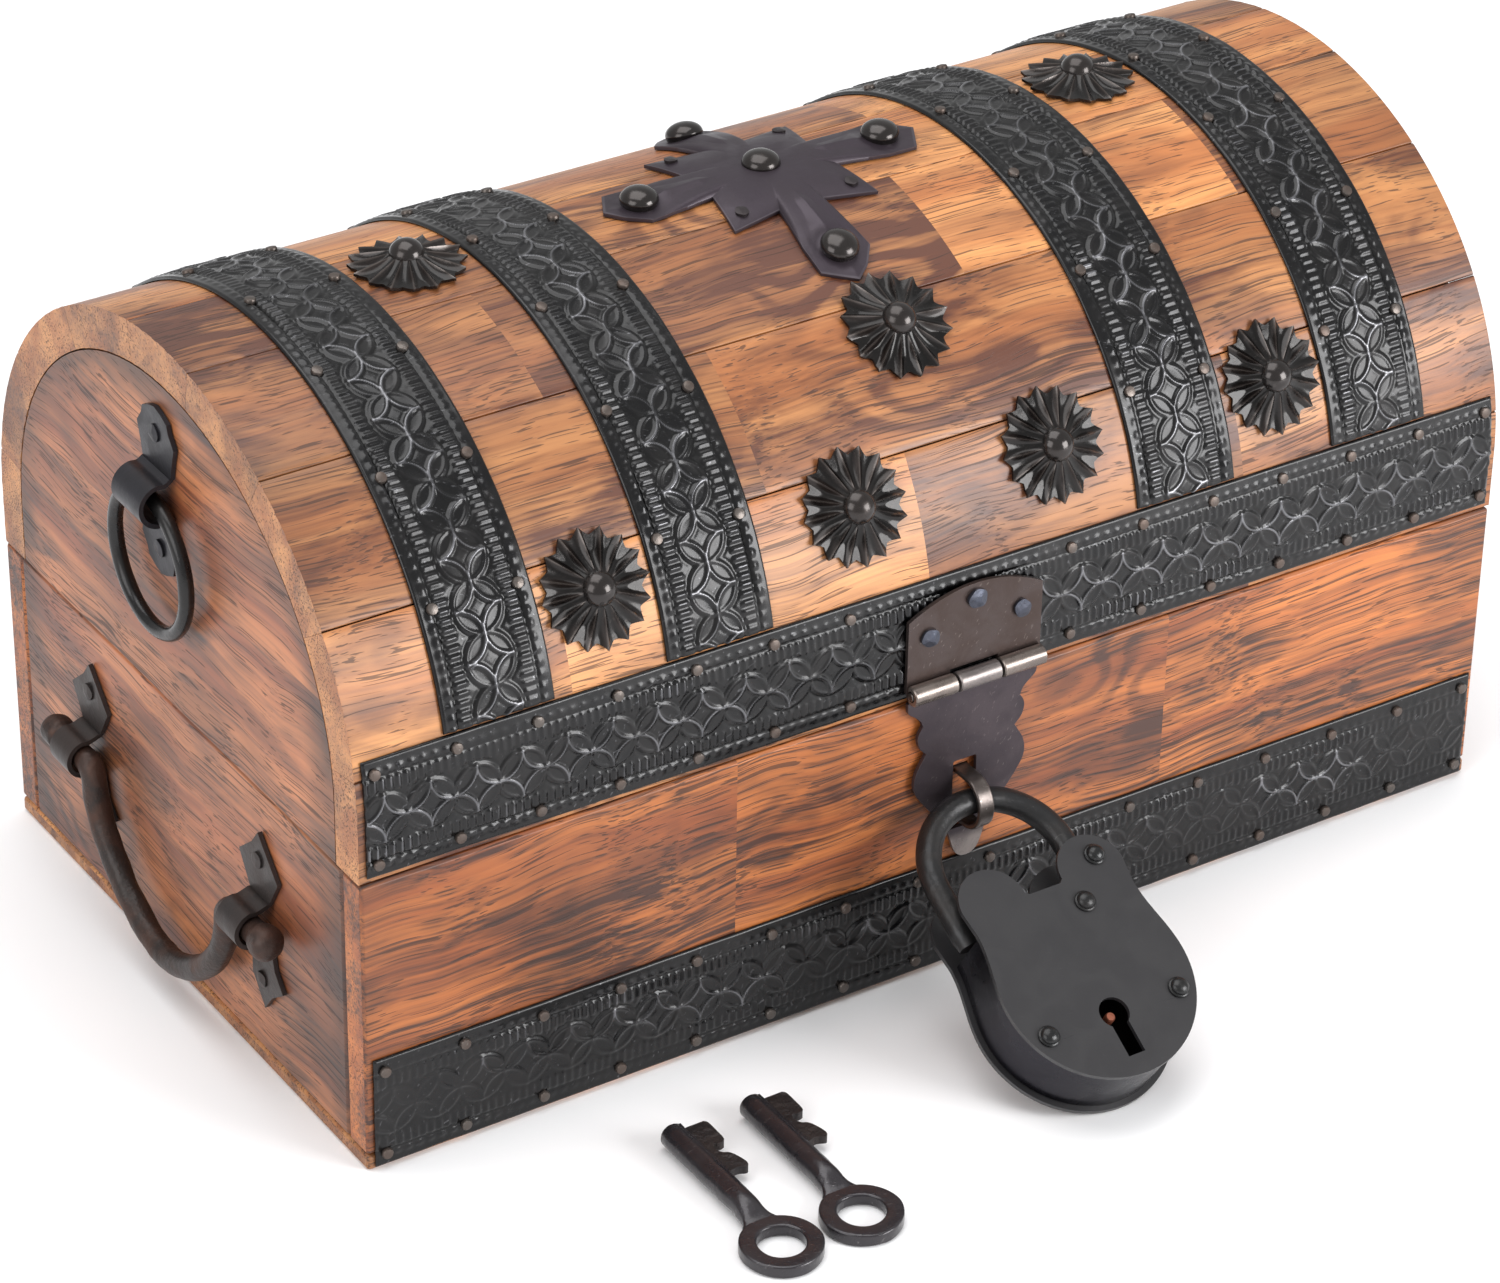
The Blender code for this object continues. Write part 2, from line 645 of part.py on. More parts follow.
front_places = (lid_strap_low + NAIL_EDGE_INSET, lid_strap_high - NAIL_EDGE_INSET)
hasp_low = HASP_X - HASP_WIDTH / 2 - NAIL_RADIUS - RUNNING_GAP
hasp_high = HASP_X + HASP_WIDTH / 2 + NAIL_RADIUS + RUNNING_GAP
heads = []
for height in front_places:
    for place in row_places(2 * front_half, NAIL_END_INSET, FRONT_NAIL_PITCH, 0.0):
        x = place - front_half
        if hasp_low < x < hasp_high:
            continue
        if height < LID_SPRING_HEIGHT:
            point = Vector((x, -LID_HALF_DEPTH - strap_outer, height))
            normal = Vector((0.0, -1.0, 0.0))
        else:
            angle = front_angle(height)
            point = Vector((x, *lid_point(angle, strap_outer)))
            normal = lid_normal(angle)
        heads.append(turned(nail_profile, frame_at(point, normal), NAIL_SIDES))
fasten(lid_front_strap, heads, brown_steel)

heads = []
for height in (base_strap_low + NAIL_EDGE_INSET, base_strap_high - NAIL_EDGE_INSET):
    for place in row_places(2 * front_half, NAIL_END_INSET, FRONT_NAIL_PITCH, 0.0):
        point = Vector((place - front_half, PLATE_FRONT_Y - strap_outer, height))
        heads.append(turned(nail_profile, frame_at(point, Vector((0.0, -1.0, 0.0))), NAIL_SIDES))
fasten(base_front_strap, heads, brown_steel)


# Rosettes: pressed sheet flowers with ridged petals, each held by a round-headed nail
def rosette(name, x, angle):
    """Make one rosette on the dome, as a thin cup of radial ridges."""
    count = 2 * ROSETTE_PETALS
    verts = []
    faces = []
    for level in (0.0, ROSETTE_THICKNESS):
        verts.append(wrap(x, angle, 0.0, FIT_GAP + ROSETTE_DOME_LIFT + level))
        for ring, share in ((ROSETTE_HUB_RADIUS, 1.0), (ROSETTE_RADIUS, 0.0)):
            for i in range(count):
                a = math.pi * i / ROSETTE_PETALS
                ridge = i % 2 == 0
                reach = ring if ridge or share > 0.0 else ring * ROSETTE_VALLEY_SHARE
                lift = FIT_GAP + ROSETTE_DOME_LIFT * share
                if ridge and share == 0.0:
                    lift += ROSETTE_RIM_LIFT
                verts.append(wrap(x + reach * math.cos(a), angle, reach * math.sin(a), lift + level))
    half = len(verts) // 2
    for i in range(count):
        j = (i + 1) % count
        inner = (1 + i, 1 + j, 1 + count + j, 1 + count + i)
        faces.append((0, 1 + j, 1 + i))
        faces.append((inner[0], inner[1], inner[2]))
        faces.append((inner[0], inner[2], inner[3]))
        faces.append((half, half + 1 + i, half + 1 + j))
        faces.append((half + inner[0], half + inner[2], half + inner[1]))
        faces.append((half + inner[0], half + inner[3], half + inner[2]))
        faces.append((inner[3], inner[2], half + inner[2], half + inner[3]))
    return add_mesh(name, verts, faces, black_iron, lid_pivot)


rosettes = (
    ("rosette_low_left", -ROSETTE_BAY_X, ROSETTE_LOW_ANGLE),
    ("rosette_low_middle_left", -ROSETTE_PAIR_X + HASP_X, ROSETTE_LOW_ANGLE),
    ("rosette_low_middle_right", ROSETTE_PAIR_X + HASP_X, ROSETTE_LOW_ANGLE),
    ("rosette_low_right", ROSETTE_BAY_X, ROSETTE_LOW_ANGLE),
    ("rosette_middle", HASP_X, ROSETTE_MIDDLE_ANGLE),
    ("rosette_top_left", -ROSETTE_BAY_X, ROSETTE_TOP_ANGLE),
    ("rosette_top_right", ROSETTE_BAY_X, ROSETTE_TOP_ANGLE),
)
rosette_nail = dome_profile(ROSETTE_NAIL_RADIUS, ROSETTE_NAIL_HEIGHT, ROSETTE_THICKNESS / 2, 3)
for name, x, angle in rosettes:
    flower = rosette(name, x, angle)
    seat = FIT_GAP + ROSETTE_DOME_LIFT + ROSETTE_THICKNESS
    frame = frame_at(Vector((x, *lid_point(angle, seat))), lid_normal(angle))
    fasten(flower, [turned(rosette_nail, frame, 10)], stud_black)


# Cross on the crown of the lid: a four-pointed plate with four arms, pressed from one sheet
def cross_outline():
    """Return the cross as a closed outline in the sheet's plane, one quarter at a time."""
    point = CROSS_PLATE_SIZE / 2
    neck = CROSS_ARM_NECK
    wide = CROSS_ARM_WIDTH / 2
    tip = CROSS_SPAN / 2
    quarter = [
        (CROSS_NOTCH, -neck), (CROSS_ARM_SHOULDER - wide / 2, -wide), (CROSS_ARM_SHOULDER + wide / 2, -wide),
        (tip, 0.0), (tip - CROSS_ARM_TIP_CUT, wide / 2), (CROSS_ARM_SHOULDER, wide), (CROSS_NOTCH, neck),
        (point, point),
    ]
    outline = []
    for turn in range(4):
        for x, y in quarter:
            for _ in range(turn):
                x, y = -y, x
            outline.append((x, y))
    return outline


def cross_lift(x, y):
    """Return how far the pressed sheet stands off the wood, highest along the arms' middles."""
    across = min(abs(x), abs(y))
    reach = max(abs(x), abs(y))
    if reach < CROSS_NOTCH:
        rim = max(abs(x) + abs(y) - CROSS_NOTCH, 0.0)
        return CROSS_RELIEF * max(0.0, 1.0 - rim / CROSS_PLATE_SIZE * 2)
    if across > CROSS_ARM_WIDTH / 2:
        return 0.0
    return CROSS_RELIEF * max(0.0, 1.0 - across / (CROSS_ARM_WIDTH / 2))


def sheet_on_dome(name, outline, centre_angle, lift, thickness, mat, parent):
    """Lay a flat outline on the dome as a sheet, cut into strips so that it follows the curve."""
    bm = bmesh.new()
    bm.faces.new([bm.verts.new((x, y, 0.0)) for x, y in outline])
    reach = max(abs(p[0]) for p in outline)
    steps = math.floor(reach / CROSS_CUT_PITCH)
    for normal in (Vector((0.0, 1.0, 0.0)), Vector((1.0, 0.0, 0.0))):
        for step in range(-steps, steps + 1):
            geom = bm.verts[:] + bm.edges[:] + bm.faces[:]
            place = normal * step * CROSS_CUT_PITCH
            bmesh.ops.bisect_plane(bm, geom=geom, plane_co=place, plane_no=normal, dist=FIT_GAP / 3)
    bmesh.ops.triangulate(bm, faces=bm.faces)
    top = {v: wrap(v.co.x, centre_angle, v.co.y, FIT_GAP + lift(v.co.x, v.co.y)) for v in bm.verts}
    extruded = bmesh.ops.extrude_face_region(bm, geom=bm.faces[:])
    for v in extruded["geom"]:
        if isinstance(v, bmesh.types.BMVert):
            v.co = wrap(v.co.x, centre_angle, v.co.y, FIT_GAP + thickness + lift(v.co.x, v.co.y))
    for v, place in top.items():
        if v.is_valid:
            v.co = place
    bmesh.ops.triangulate(bm, faces=bm.faces)
    bmesh.ops.recalc_face_normals(bm, faces=bm.faces)
    mesh = bpy.data.meshes.new(name)
    bm.to_mesh(mesh)
    bm.free()
    return add_object(name, mesh, mat, parent)


crown = math.pi / 2
cross = sheet_on_dome("top_cross", cross_outline(), crown, cross_lift, CROSS_THICKNESS,
                      black_iron, lid_pivot)


def stud_on_cross(x, arc, profile, sides):
    """Return a stud on the cross at a place on the sheet."""
    point = wrap(x, crown, arc, FIT_GAP + cross_lift(x, arc) + CROSS_THICKNESS)
    angle = crown + arc / LID_HALF_DEPTH
    return turned(profile, frame_at(point, lid_normal(angle)), sides)


reach = CROSS_STUD_REACH
places = ((0.0, 0.0), (reach, 0.0), (-reach, 0.0), (0.0, reach), (0.0, -reach))
stud_profile = dome_profile(CROSS_STUD_RADIUS, CROSS_STUD_HEIGHT, CROSS_RELIEF)
heads = [stud_on_cross(x, s, stud_profile, 12) for x, s in places]
reach = CROSS_NAIL_REACH
places = ((reach, reach), (-reach, reach), (-reach, -reach), (reach, -reach))
small_profile = head_profile(NAIL_RADIUS, NAIL_HEIGHT, CROSS_THICKNESS / 2)
heads += [stud_on_cross(x, s, small_profile, NAIL_SIDES) for x, s in places]
fasten(cross, heads, stud_black)

# Hasp: a plate on the lid, a slotted flap, and the pin between them
hasp_back_y = -LID_HALF_DEPTH - strap_outer - FIT_GAP
hasp_axis_y = hasp_back_y - HASP_KNUCKLE_RADIUS
hasp_frame = Matrix.Translation((HASP_X, hasp_back_y, HASP_PIVOT_HEIGHT))
hasp_frame = hasp_frame @ Matrix.Rotation(math.pi / 2, 4, "X")
hasp_half = HASP_WIDTH / 2
third = HASP_WIDTH / 6
relief = HASP_KNUCKLE_RADIUS + RUNNING_GAP


def hasp_plate_outline():
    """Return the lid plate: square foot, arched top, and a window for the flap's knuckle."""
    window = third + RUNNING_GAP / 2 + FIT_GAP
    outline = [(-hasp_half, 0.0), (-window, 0.0), (-window, relief), (window, relief), (window, 0.0),
               (hasp_half, 0.0)]
    steps = 8
    for i in range(steps + 1):
        x = hasp_half - HASP_WIDTH * i / steps
        rise = HASP_PLATE_CROWN * (1.0 - (x / hasp_half) ** 2)
        outline.append((x, HASP_PLATE_SIDE_HEIGHT + rise))
    return outline


plate = loops_to_solid([hasp_plate_outline()], lambda p: hasp_frame @ Vector((p[0], p[1], 0.0)),
                       lambda p: hasp_frame @ Vector((p[0], p[1], HASP_THICKNESS)))
outer_spans = ((hasp_frame, -hasp_half + FIT_GAP, -third - RUNNING_GAP / 2),
               (hasp_frame, third + RUNNING_GAP / 2, hasp_half - FIT_GAP))
hasp_plate = knuckle_plate("hasp_plate", plate, outer_spans, HASP_KNUCKLE_RADIUS, HASP_PIN_RADIUS,
                           brown_steel, lid_pivot)

flap_pivot = pivot("hasp_flap_pivot", (HASP_X, hasp_axis_y, HASP_PIVOT_HEIGHT))
right_side = []
for down, across in FLAP_OUTLINE_SHARES:
    right_side.append((hasp_half * across, -relief - (HASP_FLAP_LENGTH - relief) * down))
left_side = [(-x, z) for x, z in reversed(right_side)]
flap_top = [(-third + RUNNING_GAP / 2, -relief), (-third + RUNNING_GAP / 2, 0.0),
            (third - RUNNING_GAP / 2, 0.0), (third - RUNNING_GAP / 2, -relief)]
flap_outline = flap_top + right_side + [(0.0, -HASP_FLAP_LENGTH)] + left_side
slot_x = STAPLE_X - HASP_X
slot_low = -HASP_SLOT_TOP - HASP_SLOT_LENGTH
flap_slot = [(slot_x - HASP_SLOT_WIDTH / 2, slot_low), (slot_x + HASP_SLOT_WIDTH / 2, slot_low),
             (slot_x + HASP_SLOT_WIDTH / 2, -HASP_SLOT_TOP), (slot_x - HASP_SLOT_WIDTH / 2, -HASP_SLOT_TOP)]
flap = loops_to_solid([flap_outline, flap_slot], lambda p: hasp_frame @ Vector((p[0], p[1], 0.0)),
                      lambda p: hasp_frame @ Vector((p[0], p[1], HASP_THICKNESS)))
knuckle_half = third - RUNNING_GAP / 2 - FIT_GAP
middle_span = ((hasp_frame, -knuckle_half, knuckle_half),)
knuckle_plate("hasp_flap", flap, middle_span, HASP_KNUCKLE_RADIUS, HASP_PIN_RADIUS, brown_steel, flap_pivot)
pin_frame = hasp_frame @ Matrix.Translation((-hasp_half, 0.0, HASP_KNUCKLE_RADIUS))
pin_frame = pin_frame @ Matrix.Rotation(math.pi / 2, 4, "Y")
pin_profile = [(HASP_PIN_RADIUS, 0.0), (HASP_PIN_RADIUS, HASP_WIDTH)]
add_mesh("hasp_pin", *turned(pin_profile, pin_frame), worn_steel, lid_pivot)
side_nail_height = HASP_PLATE_SIDE_HEIGHT - HASP_NAIL_RADIUS * 2
crown_nail_height = HASP_PLATE_SIDE_HEIGHT + HASP_NAIL_RADIUS / 2
nail_places = ((-HASP_NAIL_SPREAD, side_nail_height), (0.0, crown_nail_height),
               (HASP_NAIL_SPREAD, side_nail_height))
hasp_nail = head_profile(HASP_NAIL_RADIUS, HASP_NAIL_HEIGHT, HASP_THICKNESS / 2)
heads = []
for x, z in nail_places:
    frame = hasp_frame @ Matrix.Translation((x, z, HASP_THICKNESS))
    heads.append(turned(hasp_nail, frame, 8))
fasten(hasp_plate, heads, worn_steel)

# Staple: a flat strip bent into an eye, its two legs driven through the front board
staple_mid = STAPLE_INNER_RADIUS + STAPLE_THICKNESS / 2
nose_y = PLATE_FRONT_Y - STAPLE_REACH + staple_mid + STAPLE_THICKNESS / 2
leg_end = PLATE_FRONT_Y + BOARD_THICKNESS + STAPLE_LEG_INSIDE
staple_path = [(leg_end, STAPLE_HEIGHT + staple_mid), (nose_y, STAPLE_HEIGHT + staple_mid)]
for i in range(1, 9):
    a = math.pi * i / 9
    staple_path.append((nose_y - staple_mid * math.sin(a), STAPLE_HEIGHT + staple_mid * math.cos(a)))
staple_path += [(nose_y, STAPLE_HEIGHT - staple_mid), (leg_end, STAPLE_HEIGHT - staple_mid)]
rows = []
for i, (y, z) in enumerate(staple_path):
    before = Vector(staple_path[max(i - 1, 0)])
    after = Vector(staple_path[min(i + 1, len(staple_path) - 1)])
    along = (after - before).normalized()
    side = Vector((-along.y, along.x)) * STAPLE_THICKNESS / 2
    rows.append(((y + side.x, z + side.y), (y - side.x, z - side.y)))
band("staple", rows, STAPLE_X - STAPLE_WIDTH / 2, STAPLE_X + STAPLE_WIDTH / 2, worn_steel, None)
slot_reach = STAPLE_WIDTH / 2 + FIT_GAP
half_slot = STAPLE_THICKNESS / 2 + FIT_GAP
leg_slots = (("upper_leg_slot", STAPLE_HEIGHT + staple_mid), ("lower_leg_slot", STAPLE_HEIGHT - staple_mid))
for name, height in leg_slots:
    rows = []
    for y in (PLATE_FRONT_Y - CUT_OVERRUN, PLATE_FRONT_Y + BOARD_THICKNESS + CUT_OVERRUN):
        rows.append(((y, height - half_slot), (y, height + half_slot)))
    cutter = band(name, rows, STAPLE_X - slot_reach, STAPLE_X + slot_reach, front_wood, None)
    boolean(front_board, cutter, "DIFFERENCE")

# Padlock: it leans from the staple until its back rim meets the floor
lock_low = LOCK_CENTRE_DROP + LOCK_RADIUS + LOCK_RIM + SHACKLE_BOW_RISE + SHACKLE_BOW_RADIUS
lock_half_depth = LOCK_DEPTH / 2
lock_reach = math.hypot(lock_low, lock_half_depth)
lock_lean = math.atan2(lock_half_depth, lock_low)
lock_lean += math.acos((SHACKLE_HEIGHT - KEY_FLOOR_GAP) / lock_reach)
down = Vector((0.0, -math.sin(lock_lean), -math.cos(lock_lean)))
across = Vector((1.0, 0.0, 0.0))
inward = across.cross(down)
bow_top = Vector((LOCK_X + SHACKLE_BOW_X, PLATE_FRONT_Y - SHACKLE_STANDOFF, SHACKLE_HEIGHT))
lock_origin = bow_top - across * SHACKLE_BOW_X - inward * lock_half_depth
lock_origin += down * (SHACKLE_BOW_RISE + SHACKLE_BOW_RADIUS)
lock_frame = Matrix.Translation(lock_origin) @ Matrix((across, down, inward)).transposed().to_4x4()
pivot_x = SHACKLE_BOW_X + SHACKLE_BOW_RADIUS
shackle_pivot = pivot("shackle_slide", lock_frame @ Vector((0.0, 0.0, lock_half_depth)))
case_pivot = pivot("padlock_pivot", lock_frame @ Vector((pivot_x, SHACKLE_PIVOT_DROP, lock_half_depth)))
rivet_places = ((pivot_x, SHACKLE_PIVOT_DROP), (LOCK_SPRING_RIVET_X, LOCK_SPRING_RIVET_DROP),
                (-LOCK_RIVET_SPREAD, LOCK_RIVET_DROP), (LOCK_RIVET_SPREAD, LOCK_RIVET_DROP))


def lock_side(grow):
    """Return the right edge of the padlock's body from its waist down to the bottom."""
    points = [(LOCK_WAIST + grow, LOCK_WAIST_DROP)]
    steps = 4
    for i in range(1, steps):
        share = i / steps
        x = LOCK_WAIST + (LOCK_RADIUS - LOCK_WAIST) * math.sin(math.pi / 2 * share) ** 2
        points.append((x + grow, LOCK_WAIST_DROP + (LOCK_CENTRE_DROP - LOCK_WAIST_DROP) * share))
    arc = 9
    radius = LOCK_RADIUS + grow
    for i in range(arc):
        a = math.pi / 2 * i / arc
        points.append((radius * math.cos(a), LOCK_CENTRE_DROP + radius * math.sin(a)))
    return points


def lock_outline(grow):
    """Return the padlock's outline with its two lobes and the notch between them."""
    right = [(LOCK_NOTCH_WIDTH / 2 - grow, grow)]
    arc = 8
    for i in range(arc + 1):
        a = math.pi * (1.0 - i / arc)
        radius = LOCK_LOBE_RADIUS + grow
        right.append((LOCK_LOBE_X + radius * math.cos(a), -LOCK_LOBE_RISE - radius * math.sin(a)))
    right += lock_side(grow)
    left = [(-x, v) for x, v in reversed(right)]
    return right + [(0.0, LOCK_CENTRE_DROP + LOCK_RADIUS + grow)] + left


def keyhole():
    """Return the keyhole: a round hole with a slot below it."""
    half = LOCK_KEYHOLE_SLOT_WIDTH / 2
    start = math.asin(half / LOCK_KEYHOLE_RADIUS)
    points = []
    arc = 10
    for i in range(arc + 1):
        a = start + (2 * math.pi - 2 * start) * i / arc
        v = LOCK_RIVET_DROP + LOCK_KEYHOLE_RADIUS * math.cos(a)
        points.append((LOCK_KEYHOLE_RADIUS * math.sin(a), v))
    bottom = LOCK_RIVET_DROP + LOCK_KEYHOLE_SLOT_LENGTH
    return points + [(-half, bottom), (half, bottom)]


pin_holes = [circle(place, LOCK_RIVET_PIN_RADIUS + FIT_GAP, 8) for place in rivet_places]
slab("padlock_front_plate", [lock_outline(0.0), keyhole()] + pin_holes, LOCK_PLATE_THICKNESS,
     lock_frame, lock_black, case_pivot)
back_frame = lock_frame @ Matrix.Translation((0.0, 0.0, LOCK_DEPTH - LOCK_PLATE_THICKNESS))
back_plate = slab("padlock_back_plate", [lock_outline(LOCK_RIM), pin_holes[0]], LOCK_PLATE_THICKNESS,
                  back_frame, lock_black, case_pivot)
band_edges = []
for grow in (-LOCK_RIM, -LOCK_RIM - LOCK_BAND_THICKNESS):
    right = lock_side(grow)
    left = [(-x, v) for x, v in reversed(right)]
    band_edges.append(right + [(0.0, LOCK_CENTRE_DROP + LOCK_RADIUS + grow)] + left)
band_frame = lock_frame @ Matrix.Translation((0.0, 0.0, LOCK_PLATE_THICKNESS + FIT_GAP))
band_depth = LOCK_DEPTH - 2 * (LOCK_PLATE_THICKNESS + FIT_GAP)
band_outline = band_edges[0] + band_edges[1][::-1]
slab("padlock_band", [band_outline], band_depth, band_frame, lock_black, case_pivot)


def lock_rivet(place, root):
    """Return a dome-headed rivet from a root inside the case out through the front plate."""
    rivet_frame = lock_frame @ Matrix.Translation((*place, root)) @ Matrix.Rotation(math.pi, 4, "X")
    seat = root + FIT_GAP
    profile = [(LOCK_RIVET_PIN_RADIUS, 0.0), (LOCK_RIVET_PIN_RADIUS, seat)]
    for radius, height in dome_profile(LOCK_RIVET_RADIUS, LOCK_RIVET_HEIGHT, 0.0, 3)[1:]:
        profile.append((radius, seat + height))
    return turned(profile, rivet_frame, 8)


add_mesh("padlock_pivot_rivet", *lock_rivet(rivet_places[0], LOCK_DEPTH), lock_black, case_pivot)
fixed_root = LOCK_DEPTH - LOCK_PLATE_THICKNESS / 2
fasten(back_plate, [lock_rivet(place, fixed_root) for place in rivet_places[1:]], lock_black)
post_root = LOCK_DEPTH - LOCK_PLATE_THICKNESS - FIT_GAP
post_frame = lock_frame @ Matrix.Translation((0.0, LOCK_RIVET_DROP, post_root))
post_frame = post_frame @ Matrix.Rotation(math.pi, 4, "X")
post_length = LOCK_DEPTH - 3 * LOCK_PLATE_THICKNESS
post_profile = [(LOCK_POST_RADIUS, 0.0), (LOCK_POST_RADIUS, post_length)]
add_mesh("padlock_key_post", *turned(post_profile, post_frame, 8), copper_pin, case_pivot)

# Shackle: a round bar bent to a bow, with an eye on the pivot rivet
shackle_path = [(SHACKLE_BOW_X - SHACKLE_BOW_RADIUS, SHACKLE_LEG_DROP)]
arc = 14
for i in range(arc + 1):
    a = math.pi * (1.0 - i / arc)
    x = SHACKLE_BOW_X + SHACKLE_BOW_RADIUS * math.cos(a)
    shackle_path.append((x, -SHACKLE_BOW_RISE - SHACKLE_BOW_RADIUS * math.sin(a)))
eye_bore = LOCK_RIVET_PIN_RADIUS + FIT_GAP
shackle_path.append((pivot_x, SHACKLE_PIVOT_DROP - (SHACKLE_EYE_RADIUS + eye_bore) / 2))
points = [lock_frame @ Vector((x, v, lock_half_depth)) for x, v in shackle_path]
bar = rod(points, inward, [SHACKLE_ROD_RADIUS] * len(points))
shackle = add_mesh("padlock_shackle", *bar, lock_black, shackle_pivot)
eye_place = (pivot_x, SHACKLE_PIVOT_DROP, lock_half_depth - SHACKLE_ROD_RADIUS)
eye_frame = lock_frame @ Matrix.Translation(eye_place)
eye_ring = tube_ring(SHACKLE_EYE_RADIUS, eye_bore, 2 * SHACKLE_ROD_RADIUS, eye_frame)
eye = add_mesh("shackle_eye", *eye_ring, lock_black)
boolean(shackle, eye, "UNION")


# Keys: a round shank with a bored tip, a toothed bit and a flat ring bow
def key(name, x):
    """Make one key lying flat, its tip towards the chest."""
    lift = pivot(f"{name}_pivot", (x, KEY_TIP_Y, 0.0))
    bow_y = KEY_TIP_Y - KEY_LENGTH + KEY_BOW_RADIUS
    neck_y = bow_y + (KEY_BOW_RADIUS + KEY_BOW_HOLE_RADIUS) / 2
    flare_y = bow_y + KEY_BOW_RADIUS + KEY_SHANK_RADIUS
    low_radius = KEY_BOW_THICKNESS / 2
    shank_z = KEY_FLOOR_GAP + KEY_SHANK_RADIUS
    stations = ((KEY_TIP_Y, shank_z, KEY_SHANK_RADIUS), (flare_y, shank_z, KEY_SHANK_RADIUS),
                (neck_y, KEY_FLOOR_GAP + low_radius, low_radius - FIT_GAP))
    path = [Vector((x, y, z)) for y, z, _ in stations]
    radii = [radius for _, _, radius in stations]
    body = add_mesh(name, *rod(path, Vector((1.0, 0.0, 0.0)), radii), key_iron, lift)
    floor = Matrix.Translation((x, bow_y, KEY_FLOOR_GAP))
    bow_ring = tube_ring(KEY_BOW_RADIUS, KEY_BOW_HOLE_RADIUS, KEY_BOW_THICKNESS, floor, 20)
    bow = add_mesh(f"{name}_bow", *bow_ring, key_iron, lift)
    boolean(body, bow, "UNION")
    outline = [(0.0, 0.0)]
    outline += [(KEY_BIT_REACH * reach, -KEY_BIT_LENGTH * along) for along, reach in BIT_OUTLINE_SHARES]
    outline.append((0.0, -KEY_BIT_LENGTH))
    low = KEY_FLOOR_GAP + KEY_SHANK_RADIUS - KEY_BIT_THICKNESS / 2
    bit_frame = Matrix.Translation((x, KEY_TIP_Y - KEY_BIT_INSET, low))
    bit = slab(f"{name}_bit", [outline], KEY_BIT_THICKNESS, bit_frame, key_iron, lift)
    boolean(body, bit, "UNION")
    bore_frame = Matrix.Translation((x, KEY_TIP_Y - KEY_BARREL_HOLE_DEPTH, KEY_FLOOR_GAP + KEY_SHANK_RADIUS))
    bore_frame = bore_frame @ Matrix.Rotation(-math.pi / 2, 4, "X")
    profile = [(KEY_BARREL_HOLE_RADIUS, 0.0), (KEY_BARREL_HOLE_RADIUS, KEY_BARREL_HOLE_DEPTH + CUT_OVERRUN)]
    bore = add_mesh(f"{name}_bore", *turned(profile, bore_frame, 8), key_iron, lift)
    boolean(body, bore, "DIFFERENCE")


key("key_left", KEY_LEFT_X)
key("key_right", KEY_RIGHT_X)


# Strap clips: a strip nailed at both ends, looped over a rod in the middle
def strap_clip(place, half_width, half_height, standoff, loop_radius, upper, lower, loop_share):
    """Return one clip on an end panel.

    place maps (out of the wall, along Y, up) to the world, with the rod's axis at up = 0.
    """
    middle = loop_radius + CLIP_THICKNESS / 2
    flat = FIT_GAP + CLIP_THICKNESS / 2
    foot = middle + CLIP_THICKNESS
    loop = ((-loop_share, loop_share, flat, foot),)
    arc = 8
    for i in range(arc + 1):
        a = CLIP_WRAP_ANGLE * (1.0 - 2 * i / arc)
        loop += ((-loop_share, loop_share, standoff + middle * math.cos(a), middle * math.sin(a)),)
    loop += ((-loop_share, loop_share, flat, -foot),)
    rows = []
    for row in upper:
        rows.append([(flat, half_width * t, half_height * up) for t, up in row])
    for left, right, out, up in loop:
        rows.append([(out, half_width * left, up), (out, 0.0, up), (out, half_width * right, up)])
    for row in lower:
        rows.append([(flat, half_width * t, half_height * up) for t, up in row])
    verts = []
    faces = []
    count = len(rows)
    for i, row in enumerate(rows):
        before = rows[max(i - 1, 0)]
        after = rows[min(i + 1, count - 1)]
        along = Vector((after[1][0] - before[1][0], after[1][2] - before[1][2])).normalized()
        side = Vector((-along.y, along.x)) * CLIP_THICKNESS / 2
        for sign in (-1, 1):
            for out, y, up in row:
                verts.append(place(out + sign * side.x, y, up + sign * side.y))
    for i in range(count - 1):
        a = 6 * i
        b = a + 6
        for k, n in ((0, 1), (1, 2), (2, 5), (5, 4), (4, 3), (3, 0)):
            faces.append((a + k, a + n, b + n, b + k))
    for a in (0, 6 * (count - 1)):
        faces.append((a, a + 1, a + 4, a + 3))
        faces.append((a + 1, a + 2, a + 5, a + 4))
    return verts, faces


